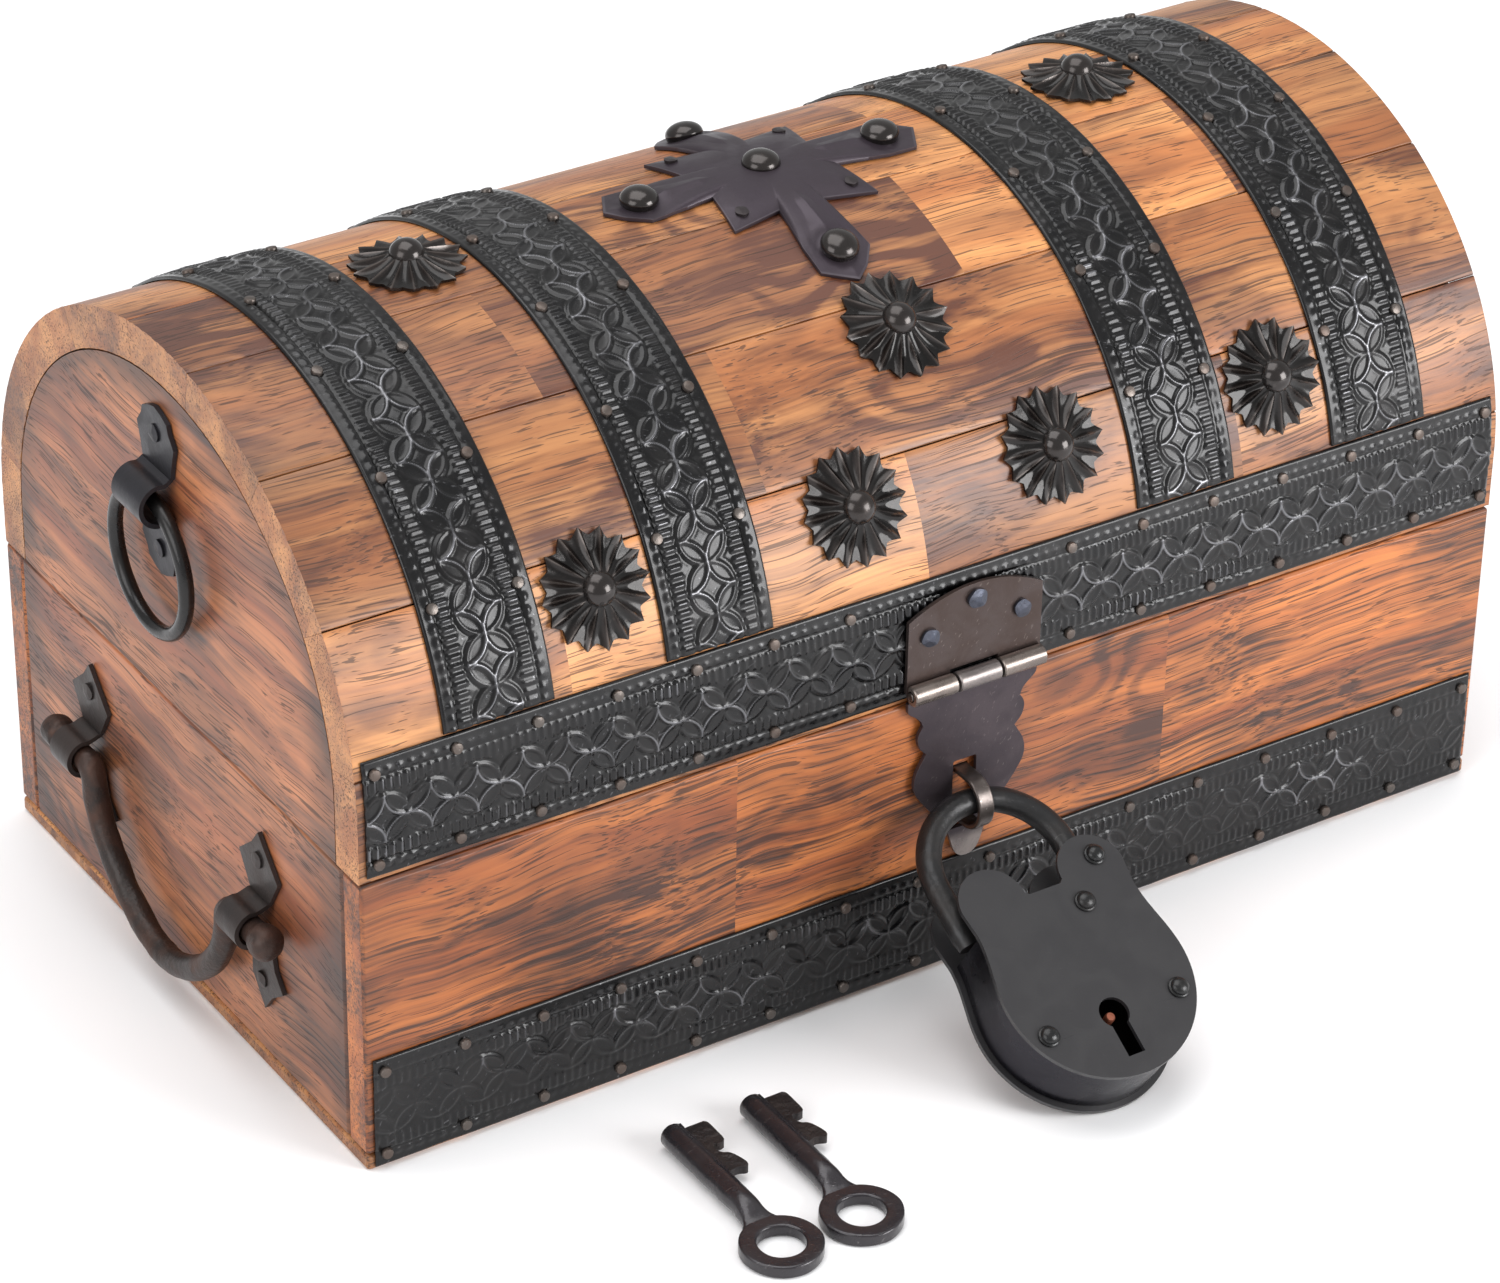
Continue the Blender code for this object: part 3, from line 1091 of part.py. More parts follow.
# End handles, rings and their clips, the same on both ends
clip_top = FIT_GAP + CLIP_THICKNESS
clip_nail = head_profile(CLIP_NAIL_RADIUS, CLIP_NAIL_HEIGHT, CLIP_THICKNESS / 2)
for side, word in ((-1, "left"), (1, "right")):
    axis_x = side * (END_X + HANDLE_STANDOFF)
    handle_pivot = pivot(f"handle_{word}_pivot", (axis_x, 0.0, HANDLE_HEIGHT))
    knob = HANDLE_KNOB_RADIUS
    rod_radius = HANDLE_ROD_RADIUS
    half = [(HANDLE_KNOB_Y + knob, 0.0, knob / 2), (HANDLE_KNOB_Y + knob / 2, 0.0, knob),
            (HANDLE_KNOB_Y - knob / 2, 0.0, knob), (HANDLE_KNOB_Y - knob, 0.0, rod_radius)]
    corner = HANDLE_CORNER_RADIUS
    for i in range(5):
        a = math.pi / 2 * i / 4
        y = HANDLE_HALF_SPAN + corner * (1.0 - math.sin(a))
        half.append((y, -corner * (1.0 - math.cos(a)), rod_radius))
    bow_steps = 9
    power = 2 / HANDLE_BOW_EXPONENT
    for i in range(1, bow_steps):
        a = math.pi / 2 * i / bow_steps
        y = HANDLE_HALF_SPAN * math.cos(a) ** power
        half.append((y, -corner - (HANDLE_DROP - corner) * math.sin(a) ** power, rod_radius))
    full = [(-y, z, r) for y, z, r in half] + [(0.0, -HANDLE_DROP, rod_radius)] + half[::-1]
    points = [Vector((axis_x, y, HANDLE_HEIGHT + z)) for y, z, _ in full]
    verts, faces = rod(points, Vector((1.0, 0.0, 0.0)), [r for _, _, r in full])
    add_mesh(f"handle_{word}", verts, faces, black_iron, handle_pivot)
    for y_side, end_word in ((-1, "front"), (1, "rear")):
        clip_y = y_side * HANDLE_CLIP_Y
        place = lambda out, y, up: Vector((side * (END_X + out), clip_y - y, HANDLE_HEIGHT + up))
        solid = strap_clip(place, HANDLE_CLIP_HALF_WIDTH, HANDLE_CLIP_HALF_HEIGHT, HANDLE_STANDOFF,
                           HANDLE_ROD_RADIUS + CLIP_LOOP_GAP, HANDLE_CLIP_UPPER_SHARES,
                           HANDLE_CLIP_LOWER_SHARES, HANDLE_CLIP_LOOP_SHARE)
        clip = add_mesh(f"handle_clip_{word}_{end_word}", *solid, black_iron)
        heads = []
        for up in (HANDLE_NAIL_REACH - CLIP_NAIL_RADIUS, -HANDLE_NAIL_REACH):
            frame = frame_at(place(clip_top, 0.0, up), Vector((side, 0.0, 0.0)))
            heads.append(turned(clip_nail, frame, 8))
        fasten(clip, heads, black_iron)

    axis_x = side * (END_X + RING_STANDOFF)
    ring_pivot = pivot(f"ring_{word}_pivot", (axis_x, 0.0, RING_PIVOT_HEIGHT))
    ring_pivot.parent = lid_pivot
    ring_pivot.matrix_parent_inverse = lid_pivot.matrix_world.inverted()
    bpy.context.view_layer.update()
    ring_sides = 28
    points = []
    for i in range(ring_sides):
        a = 2 * math.pi * i / ring_sides
        z = RING_PIVOT_HEIGHT - RING_RADIUS * (1.0 - math.cos(a))
        points.append(Vector((axis_x, RING_RADIUS * math.sin(a), z)))
    verts, faces = rod(points, Vector((1.0, 0.0, 0.0)), [RING_ROD_RADIUS] * ring_sides, 8, closed=True)
    add_mesh(f"ring_{word}", verts, faces, stud_black, ring_pivot)
    place = lambda out, y, up: Vector((side * (END_X + out), -y, RING_PIVOT_HEIGHT + up))
    solid = strap_clip(place, RING_CLIP_HALF_WIDTH, RING_CLIP_HALF_HEIGHT, RING_STANDOFF, RING_LOOP_RADIUS,
                       RING_CLIP_UPPER_SHARES, RING_CLIP_LOWER_SHARES, RING_CLIP_LOOP_SHARE)
    clip = add_mesh(f"ring_clip_{word}", *solid, stud_black, lid_pivot)
    heads = []
    for up in (RING_NAIL_REACH, -RING_NAIL_REACH):
        frame = frame_at(place(clip_top, 0.0, up), Vector((side, 0.0, 0.0)))
        heads.append(turned(clip_nail, frame, 8))
    fasten(clip, heads, stud_black)

# Back hinges: two pairs of leaves on pins, nailed to the back
hinge_back_y = CHEST_DEPTH / 2 + FIT_GAP
hinge_half = HINGE_WIDTH / 2
hinge_third = HINGE_WIDTH / 6
hinge_relief = HINGE_KNUCKLE_RADIUS + RUNNING_GAP
hinge_edge = hinge_third + RUNNING_GAP / 2
inner_half = hinge_third - RUNNING_GAP / 2
shoulder = hinge_relief + FIT_GAP
lid_outline = [(-inner_half, 0.0), (inner_half, 0.0), (inner_half, hinge_relief), (hinge_half, shoulder),
               (hinge_half, HINGE_LEAF_HEIGHT), (-hinge_half, HINGE_LEAF_HEIGHT), (-hinge_half, shoulder),
               (-inner_half, hinge_relief)]
base_window = hinge_edge + FIT_GAP
base_outline = [(-hinge_half, 0.0), (-hinge_half, -HINGE_LEAF_HEIGHT), (hinge_half, -HINGE_LEAF_HEIGHT),
                (hinge_half, 0.0), (base_window, 0.0), (base_window, -hinge_relief),
                (-base_window, -hinge_relief), (-base_window, 0.0)]
pin_profile = [(HINGE_PIN_RADIUS, 0.0), (HINGE_PIN_RADIUS, HINGE_WIDTH)]
hinge_nail = head_profile(NAIL_RADIUS, NAIL_HEIGHT, HINGE_THICKNESS / 2)
nail_up = HINGE_LEAF_HEIGHT - NAIL_EDGE_INSET
nail_xs = (-hinge_half + NAIL_EDGE_INSET, hinge_half - NAIL_EDGE_INSET)
for side, word in ((-1, "left"), (1, "right")):
    frame = Matrix.Translation((side * HINGE_X, hinge_back_y, lid_axis_z)) @ Matrix.Rotation(math.pi, 4, "Z")
    frame = frame @ Matrix.Rotation(math.pi / 2, 4, "X")
    low = lambda p: frame @ Vector((p[0], p[1], 0.0))
    high = lambda p: frame @ Vector((p[0], p[1], HINGE_THICKNESS))
    lid_spans = ((frame, -inner_half + FIT_GAP, inner_half - FIT_GAP),)
    base_spans = ((frame, -hinge_half + FIT_GAP, -hinge_edge), (frame, hinge_edge, hinge_half - FIT_GAP))
    leaves = (("lid", lid_outline, lid_spans, lid_pivot, nail_up),
              ("base", base_outline, base_spans, None, -nail_up))
    for leaf_word, outline, spans, parent, z in leaves:
        solid = loops_to_solid([outline], low, high)
        leaf = knuckle_plate(f"hinge_{word}_{leaf_word}_leaf", solid, spans, HINGE_KNUCKLE_RADIUS,
                             HINGE_PIN_RADIUS, black_iron, parent)
        heads = []
        for x in nail_xs:
            heads.append(turned(hinge_nail, frame @ Matrix.Translation((x, z, HINGE_THICKNESS)), NAIL_SIDES))
        fasten(leaf, heads, black_iron)
    pin_frame = frame @ Matrix.Translation((-hinge_half, 0.0, HINGE_KNUCKLE_RADIUS))
    pin_frame = pin_frame @ Matrix.Rotation(math.pi / 2, 4, "Y")
    add_mesh(f"hinge_{word}_pin", *turned(pin_profile, pin_frame), black_iron)
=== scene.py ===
"""Looks of the domed wooden treasure chest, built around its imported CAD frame.

Metres, +Z up, +X along the front from left to right, the front faces -Y.
"""
import logging
import math
from collections.abc import Callable
from dataclasses import dataclass, field
from enum import Enum

import bmesh
import bpy
import numpy as np
from mathutils import Matrix, Vector
from mathutils.geometry import tessellate_polygon


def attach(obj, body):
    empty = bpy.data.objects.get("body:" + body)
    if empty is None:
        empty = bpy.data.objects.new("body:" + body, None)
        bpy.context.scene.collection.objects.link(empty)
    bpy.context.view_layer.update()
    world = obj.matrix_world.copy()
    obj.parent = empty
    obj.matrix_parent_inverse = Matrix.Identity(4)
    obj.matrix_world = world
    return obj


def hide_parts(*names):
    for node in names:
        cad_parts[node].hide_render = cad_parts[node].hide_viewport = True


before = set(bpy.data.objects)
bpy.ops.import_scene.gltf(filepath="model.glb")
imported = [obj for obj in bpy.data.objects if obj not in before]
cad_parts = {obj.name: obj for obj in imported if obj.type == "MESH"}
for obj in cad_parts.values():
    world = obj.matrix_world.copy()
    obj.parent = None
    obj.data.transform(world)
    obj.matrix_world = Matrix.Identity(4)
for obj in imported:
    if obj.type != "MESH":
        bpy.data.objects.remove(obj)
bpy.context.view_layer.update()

LOG = logging.getLogger("treasure_chest")
PHOTO_WIDTH = 1500
Array = np.ndarray
Tree = bpy.types.NodeTree
Socket = bpy.types.NodeSocket
Sockets = bpy.types.bpy_prop_collection
Material = bpy.types.Material
Piece = bpy.types.Object
Pair = tuple[float, float]
Triple = tuple[float, float, float]
Bevel = tuple[float, int, float]
UP = np.array((0.0, 0.0, 1.0))
ALONG_X = np.array((1.0, 0.0, 0.0))
ALONG_Y = np.array((0.0, 1.0, 0.0))


class Side(Enum):
    """Which end of the chest a piece sits on."""

    LEFT = -1
    RIGHT = 1


class Grain(Enum):
    """Which way the grain of a piece of wood runs."""

    ALONG_FRONT = "x"
    ALONG_END = "y"


# ---------------------------------------------------------------- surfaces


@dataclass
class Shell:
    """A closed surface: points, four-sided faces, and any faces with another number of corners."""

    points: Array
    quads: Array
    others: list[list[int]] = field(default_factory=list)

    def volume(self) -> float:
        """Return the signed volume, positive when the faces look outward."""
        a, b, c, d = (self.points[self.quads[:, k]] for k in range(4))
        total = np.einsum("ij,ij->", a, np.cross(b, c)) + np.einsum("ij,ij->", a, np.cross(c, d))
        for face in self.others:
            ring = self.points[face]
            total += np.einsum("ij,ij->", np.broadcast_to(ring[0], ring[1:-1].shape),
                               np.cross(ring[1:-1], ring[2:]))
        return float(total) / 6.0

    def outward(self) -> "Shell":
        """Return the shell with its faces turned outward."""
        if self.volume() >= 0.0:
            return self
        return Shell(self.points, self.quads[:, ::-1], [face[::-1] for face in self.others])


def join(shells: list[Shell]) -> Shell:
    """Put several closed surfaces into one.

    Args:
        shells: The surfaces, each already facing outward.

    Returns:
        One surface that holds them all.
    """
    starts = np.cumsum([0] + [len(shell.points) for shell in shells[:-1]])
    points = np.concatenate([shell.points for shell in shells])
    quads = np.concatenate([shell.quads + start for shell, start in zip(shells, starts)])
    others = [[i + int(start) for i in face]
              for shell, start in zip(shells, starts) for face in shell.others]
    return Shell(points, quads, others)


def grid_quads(rows: int, columns: int, wrap_rows: bool = False, wrap_columns: bool = False) -> Array:
    """Return the four-sided faces of a grid of points numbered row by row.

    Args:
        rows: Number of rows.
        columns: Number of points in a row.
        wrap_rows: True if the last row joins the first.
        wrap_columns: True if each row is a closed ring.

    Returns:
        An array of four corners per face.
    """
    i = np.arange(rows if wrap_rows else rows - 1)[:, None]
    j = np.arange(columns if wrap_columns else columns - 1)[None, :]
    a = i * columns + j
    b = i * columns + (j + 1) % columns
    c = (i + 1) % rows * columns + (j + 1) % columns
    d = (i + 1) % rows * columns + j
    return np.stack([a, b, c, d], axis=-1).reshape(-1, 4)


def tube(rings: Array, closed: bool = False) -> Shell:
    """Skin a row of rings, capped at both ends unless the row is closed.

    Args:
        rings: Points as (ring, place on the ring, 3).
        closed: True if the last ring joins the first.

    Returns:
        The closed surface.
    """
    count, sides, _ = rings.shape
    quads = grid_quads(count, sides, closed, True)
    others = []
    if not closed:
        others = [list(range(sides))[::-1], [(count - 1) * sides + k for k in range(sides)]]
    return Shell(rings.reshape(-1, 3), quads, others).outward()


def sheet(top: Array, bottom: Array) -> Shell:
    """Close a grid of top points with a grid of bottom points and four walls.

    The bottom has as many rows as the top. It has as many columns too, or only two, and then
    each end is one face with many corners. The two ends wind against the other faces.

    Args:
        top: Points as (row, column, 3).
        bottom: Points as (row, column, 3).

    Returns:
        The closed surface.
    """
    rows, wide, _ = top.shape
    narrow = bottom.shape[1]
    high = np.arange(rows * wide).reshape(rows, wide)
    low = np.arange(rows * narrow).reshape(rows, narrow) + rows * wide
    quads = [grid_quads(rows, wide), grid_quads(rows, narrow)[:, ::-1] + rows * wide]
    walls = [(high[:, 0], low[:, 0]), (high[::-1, -1], low[::-1, -1])]
    ends = [(high[0], low[0]), (high[-1, ::-1], low[-1, ::-1])]
    others = []
    if narrow == wide:
        walls += ends
    else:
        others = [[*upper.tolist(), *lower[::-1].tolist()] for upper, lower in ends]
    quads += [np.stack([a[:-1], a[1:], b[1:], b[:-1]], axis=-1) for a, b in walls]
    points = np.concatenate([top.reshape(-1, 3), bottom.reshape(-1, 3)])
    return Shell(points, np.concatenate(quads), others).outward()


def button(top: Array, bottom: Array) -> Shell:
    """Close two polar grids whose first row is the middle point, joined at their outer rows.

    Args:
        top: Points as (ring, place on the ring, 3); ring 0 is one point repeated.
        bottom: The same for the underside, with as many places on a ring.

    Returns:
        The closed surface.
    """
    sides = top.shape[1]
    k = np.arange(sides)
    n = (k + 1) % sides
    points, quads, others, rims = [], [], [], []
    middle = 0
    for grid, turn in ((top, 1), (bottom, -1)):
        rings = len(grid) - 1
        points += [grid[0, :1], grid[1:].reshape(-1, 3)]
        quads.append(grid_quads(rings, sides, False, True)[:, ::turn] + middle + 1)
        others += [[middle, middle + 1 + (j + 1) % sides, middle + 1 + j][::turn] for j in range(sides)]
        rims.append(middle + 1 + (rings - 1) * sides)
        middle += 1 + rings * sides
    quads.append(np.stack([rims[0] + k, rims[0] + n, rims[1] + n, rims[1] + k], axis=-1))
    return Shell(np.concatenate(points), np.concatenate(quads), others).outward()


def slab(loops: list[Array], thickness: float) -> Shell:
    """Extrude a flat outline with holes along +Z from zero to a thickness.

    Each flat triangle and each wall is turned by the sign of its area or its loop's area, so that
    all of them look outward.

    Args:
        loops: The outline, then its holes, each as (place, 2).
        thickness: Height of the slab.

    Returns:
        The closed surface.
    """
    flat = np.concatenate(loops)
    count = len(flat)
    corners = np.array(tessellate_polygon([[Vector((*p, 0.0)) for p in loop] for loop in loops]))
    a, b, c = (flat[corners[:, k]] for k in range(3))
    area = (b - a)[:, 0] * (c - a)[:, 1] - (b - a)[:, 1] * (c - a)[:, 0]
    corners = np.where(area[:, None] < 0.0, corners[:, ::-1], corners)
    walls = []
    start = 0
    for index, loop in enumerate(loops):
        i = start + np.arange(len(loop))
        j = start + (np.arange(len(loop)) + 1) % len(loop)
        x, y = loop.T
        turns_left = np.sum(x * np.roll(y, -1) - y * np.roll(x, -1)) > 0.0
        wall = np.stack([i, j, j + count, i + count], axis=-1)
        walls.append(wall if turns_left == (index == 0) else wall[:, ::-1])
        start += len(loop)
    points = np.column_stack([np.tile(flat, (2, 1)), np.repeat((0.0, thickness), count)])
    return Shell(points, np.concatenate(walls), corners[:, ::-1].tolist() + (corners + count).tolist())


def around(count: int) -> Array:
    """Return evenly spaced angles that go once round."""
    return np.arange(count) * 2 * np.pi / count


def moved(x: float, y: float, z: float) -> Array:
    """Return the 4 x 4 matrix of a move."""
    matrix = np.eye(4)
    matrix[:3, 3] = (x, y, z)
    return matrix


def placed(shell: Shell, place: Array) -> Shell:
    """Return a shell moved by a 4 x 4 matrix."""
    return Shell(shell.points @ place[:3, :3].T + place[:3, 3], shell.quads, shell.others)


def sections(path: Array, radii: Array, normal: Array, sides: int,
             closed: bool = False) -> Array:
    """Return round sections along a path that lies in one plane.

    Each point is the path's point plus its radius times (cos a * side + sin a * normal), where side
    is square to the path in its plane.

    Args:
        path: Points of the path.
        radii: Radius at each point.
        normal: Direction square to the path's plane.
        sides: Points on each ring.
        closed: True if the path is a loop.

    Returns:
        Points as (ring, place on the ring, 3).
    """
    if closed:
        along = np.roll(path, -1, axis=0) - np.roll(path, 1, axis=0)
    else:
        along = np.gradient(path, axis=0)
    side = np.cross(along, normal)
    side /= np.linalg.norm(side, axis=1, keepdims=True)
    a = around(sides)[None, :, None]
    offsets = side[:, None, :] * np.cos(a) + normal * np.sin(a)
    return path[:, None, :] + offsets * radii[:, None, None]


def turned(profile: Array, sides: int) -> Shell:
    """Turn a profile of (radius, height) about +Z, closed at both ends."""
    a = around(sides)
    x = profile[:, 0:1] * np.cos(a)
    z = np.broadcast_to(profile[:, 1:2], x.shape)
    return tube(np.stack([x, profile[:, 0:1] * np.sin(a), z], axis=-1))


def frame_matrix(point: Array, normal: Array, up: Array = UP) -> Array:
    """Return the matrix of a frame at a point whose third axis is the normal."""
    third = normal / np.linalg.norm(normal)
    first = np.cross(up, third)
    if np.linalg.norm(first) < 1e-6:
        first = ALONG_X
    first = first / np.linalg.norm(first)
    matrix = np.eye(4)
    matrix[:3, :3] = np.column_stack([first, np.cross(third, first), third])
    matrix[:3, 3] = point
    return matrix


def repeated(template: Shell, places: list[Array]) -> Shell:
    """Return copies of one small shell at several 4 x 4 places."""
    return join([placed(template, place) for place in places])


def smooth_noise(points: Array, pitch: float, seed: int) -> Array:
    """Return a soft random height between -1 and 1 at each point.

    It is the sum of eight sine waves of random direction and phase whose wavelength is near the pitch.

    Args:
        points: Points as (..., 3).
        pitch: Mean wavelength.
        seed: Seed of the random directions.

    Returns:
        One value per point.
    """
    source = np.random.default_rng(seed)
    total = np.zeros(points.shape[:-1])
    waves = 8
    for _ in range(waves):
        direction = source.normal(size=3)
        direction *= 2 * np.pi / pitch * source.uniform(0.6, 1.4) / np.linalg.norm(direction)
        total += np.sin(points @ direction + source.uniform(0.0, 2 * np.pi))
    return total / math.sqrt(waves * 2)


def linked(name: str, data: bpy.types.ID) -> Piece:
    """Make an object of some data and put it in the scene."""
    made = bpy.data.objects.new(name, data)
    bpy.context.scene.collection.objects.link(made)
    return made


def dressed(name: str, mesh: bpy.types.Mesh, body: str, material: Material, nodes: tuple[str, ...],
            sharp: float, bevel: Bevel | None) -> Piece:
    """Make an object from a mesh, dress it and let it ride on a body.

    Args:
        name: Name of the piece.
        mesh: Its mesh.
        body: CAD body that it moves with.
        material: Its finish.
        nodes: CAD nodes that it stands for.
        sharp: Angle in degrees beyond which an edge is left sharp.
        bevel: Width of the broken edges, faces across them, and the least angle in degrees.

    Returns:
        The object.
    """
    mesh.materials.clear()
    mesh.materials.append(material)
    mesh.shade_smooth()
    mesh.set_sharp_from_angle(angle=math.radians(sharp))
    piece = linked(name, mesh)
    if bevel:
        mod = piece.modifiers.new("broken_edges", "BEVEL")
        mod.width, mod.segments = bevel[:2]
        mod.limit_method = "ANGLE"
        mod.angle_limit = math.radians(bevel[2])
        mod.harden_normals = True
    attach(piece, body)
    if nodes:
        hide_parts(*nodes)
    LOG.info("%s: %d faces on %s", name, len(mesh.polygons), body)
    return piece


def make_piece(name: str, shell: Shell, body: str, material: Material, nodes: tuple[str, ...] = (),
               sharp: float = 40.0, bevel: Bevel | None = None) -> Piece:
    """Make a piece from a shell; see dressed for what the rest stands for."""
    mesh = bpy.data.meshes.new(name)
    mesh.from_pydata(shell.points.tolist(), [], shell.quads.tolist() + shell.others)
    mesh.update()
    return dressed(name, mesh, body, material, nodes, sharp, bevel)


def refined_node(node: str, body: str, material: Material, width: float) -> Piece:
    """Make a piece from a merged copy of a CAD node, with its edges broken.

    Args:
        node: CAD node to copy and to stand for.
        body: CAD body that the piece moves with.
        material: Its finish.
        width: Width of the broken edges.

    Returns:
        The object.
    """
    bm = bmesh.new()
    bm.from_mesh(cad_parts[node].data)
    bmesh.ops.remove_doubles(bm, verts=bm.verts, dist=1e-6)
    bmesh.ops.dissolve_limit(bm, angle_limit=math.radians(1.0), verts=bm.verts, edges=bm.edges)
    name = f"{node}_finished"
    mesh = bpy.data.meshes.new(name)
    bm.to_mesh(mesh)
    bm.free()
    return dressed(name, mesh, body, material, (node,), 32.0, (width, 2, 35.0))


def store_numbers(piece: Piece, name: str, values: Array, domain: str = "POINT") -> None:
    """Store one number per point or face of a piece under a name that its finish reads."""
    attribute = piece.data.attributes.new(name, "FLOAT", domain)
    attribute.data.foreach_set("value", values.astype(np.float32).ravel())


def mesh_points(piece: Piece) -> Array:
    """Return the points of a piece's mesh, one per row."""
    points = np.zeros(len(piece.data.vertices) * 3)
    piece.data.vertices.foreach_get("co", points)
    return points.reshape(-1, 3)


# ---------------------------------------------------------------- the dome


@dataclass(frozen=True)
class Dome:
    """The lid's outline: half an ellipse on short upright sides, measured along its arc.

    The arc is zero where the front side meets the ellipse, negative below that, and past the
    ellipse's length down the back side.
    """

    half_depth: float = 0.0985
    rise: float = 0.0903
    spring: float = 0.1052
    steps: int = 4000

    def table(self) -> tuple[Array, Array]:
        """Return matching arrays of angle and arc length round the ellipse."""
        angles = np.linspace(0.0, np.pi, self.steps)
        y = -self.half_depth * np.cos(angles)
        z = self.rise * np.sin(angles)
        lengths = np.hypot(np.diff(y), np.diff(z))
        return angles, np.concatenate([[0.0], np.cumsum(lengths)])

    def arc_at(self, angle: float) -> float:
        """Return the arc length at an angle."""
        angles, arcs = self.table()
        return float(np.interp(angle, angles, arcs))

    def arc_at_height(self, height: float) -> float:
        """Return the arc length of a height on the front."""
        if height <= self.spring:
            return height - self.spring
        return self.arc_at(math.asin((height - self.spring) / self.rise))

    def place(self, x: Array | float, arc: Array | float, lift: Array | float) -> Array:
        """Return points on the dome.

        The point is the ellipse's point at the arc, moved down where the arc runs on along an
        upright side, plus the lift times the outline's normal.

        Args:
            x: Place along the front.
            arc: Arc length.
            lift: Height above the wood.

        Returns:
            Points as (..., 3).
        """
        x, arc, lift = np.broadcast_arrays(x, arc, lift)
        angles, arcs = self.table()
        angle = np.interp(arc, arcs, angles)
        drop = np.minimum(arc, 0.0) + np.minimum(arcs[-1] - arc, 0.0)
        ny = -np.cos(angle) / self.half_depth
        nz = np.sin(angle) / self.rise
        size = np.hypot(ny, nz)
        y = -self.half_depth * np.cos(angle) + ny / size * lift
        z = self.spring + self.rise * np.sin(angle) + nz / size * lift + drop
        return np.stack([x, y, z], axis=-1)

    def seat(self, x: float, arc: float, lift: float) -> Array:
        """Return the frame of a head that sits at a point of the dome, square to it."""
        spot = self.place(x, arc, lift)
        return frame_matrix(spot, self.place(x, arc, lift + 1.0) - spot)


DOME = Dome()


# ---------------------------------------------------------------- finishes


class Graph:
    """A node tree with short ways to add nodes to it."""

    def __init__(self, tree: Tree) -> None:
        """Keep the tree."""
        self.tree = tree

    def feed(self, target: Socket, value: Socket | float | tuple) -> None:
        """Set an input to a value, or link it to the socket that feeds it."""
        if isinstance(value, Socket):
            self.tree.links.new(value, target)
        else:
            target.default_value = value

    def node(self, kind: str, inputs: dict | None = None, **settings) -> bpy.types.Node:
        """Add a node, set its properties and feed its inputs.

        Args:
            kind: Type of the node, without the word ShaderNode.
            inputs: For each input, by name or number, a value or the socket that feeds it.
            **settings: Properties of the node.

        Returns:
            The node.
        """
        node = self.tree.nodes.new(f"ShaderNode{kind}")
        for key, value in settings.items():
            setattr(node, key, value)
        for key, value in (inputs or {}).items():
            self.feed(node.inputs[key], value)
        return node

    def math(self, operation: str, *values: Socket | float) -> Socket:
        """Add a math node and return its result."""
        return self.node("Math", dict(enumerate(values)), operation=operation).outputs[0]

    def scaled(self, value: Socket, factor: Socket | float, plus: Socket | float = 0.0) -> Socket:
        """Return value * factor + plus."""
        return self.math("MULTIPLY_ADD", value, factor, plus)

    def vector(self, operation: str, *values: Socket | Triple) -> Socket:
        """Add a vector math node and return its result."""
        return self.node("VectorMath", dict(enumerate(values)), operation=operation).outputs[0]

    def clamped(self, value: Socket) -> Socket:
        """Return a value kept between 0 and 1."""
        return self.node("Clamp", {0: value}).outputs[0]

    def remap(self, value: Socket, low: float, high: float) -> Socket:
        """Return a value spread smoothly to 0 at low and 1 at high."""
        inputs = {"Value": value, "From Min": low, "From Max": high}
        return self.node("MapRange", inputs, interpolation_type="SMOOTHSTEP").outputs["Result"]

    def mix(self, share: Socket, first: Socket | Triple, second: Triple) -> Socket:
        """Mix two colours, each a socket or a display colour, by a share and return the result."""
        colours = [value if isinstance(value, Socket) else colour(*value) for value in (first, second)]
        inputs = dict(zip((0, 6, 7), (share, *colours)))
        return self.node("Mix", inputs, data_type="RGBA").outputs[2]

    def bump(self, height: Socket, strength: float, distance: float) -> Socket:
        """Return a normal that is bent by a height."""
        inputs = {"Height": height, "Strength": strength, "Distance": distance}
        return self.node("Bump", inputs).outputs[0]

    def noise(self, vector: Socket, scale: float | Triple, detail: float, distortion: float = 0.0) -> Socket:
        """Return a noise; three scales stretch it by a different amount along each axis."""
        if isinstance(scale, tuple):
            vector, scale = self.vector("MULTIPLY", vector, scale), 1.0
        inputs = {"Vector": vector, "Scale": scale, "Detail": detail, "Distortion": distortion}
        return self.node("TexNoise", inputs).outputs["Fac"]

    def own_number(self, name: str) -> Socket:
        """Return a number stored on the piece's own mesh."""
        return self.node("Attribute", attribute_name=name).outputs["Fac"]

    def object_place(self) -> Socket:
        """Return the place on the piece in metres."""
        return self.node("TexCoord").outputs["Object"]


def start_group(name: str, numbers: tuple[str, ...],
                results: tuple[str, ...]) -> tuple[Graph, Sockets, Sockets]:
    """Start a node group that reads a vector and some numbers and gives some results.

    Args:
        name: Name of the group.
        numbers: Names of the numbers that it reads.
        results: Names of its results, each a number.

    Returns:
        The group's graph, the sockets that bring its inputs, and those that take its results.
    """
    tree = bpy.data.node_groups.new(name, "ShaderNodeTree")
    tree.interface.new_socket(name="Vector", in_out="INPUT", socket_type="NodeSocketVector")
    for way, words in (("INPUT", numbers), ("OUTPUT", results)):
        for word in words:
            tree.interface.new_socket(name=word, in_out=way, socket_type="NodeSocketFloat")
    return Graph(tree), tree.nodes.new("NodeGroupInput").outputs, tree.nodes.new("NodeGroupOutput").inputs


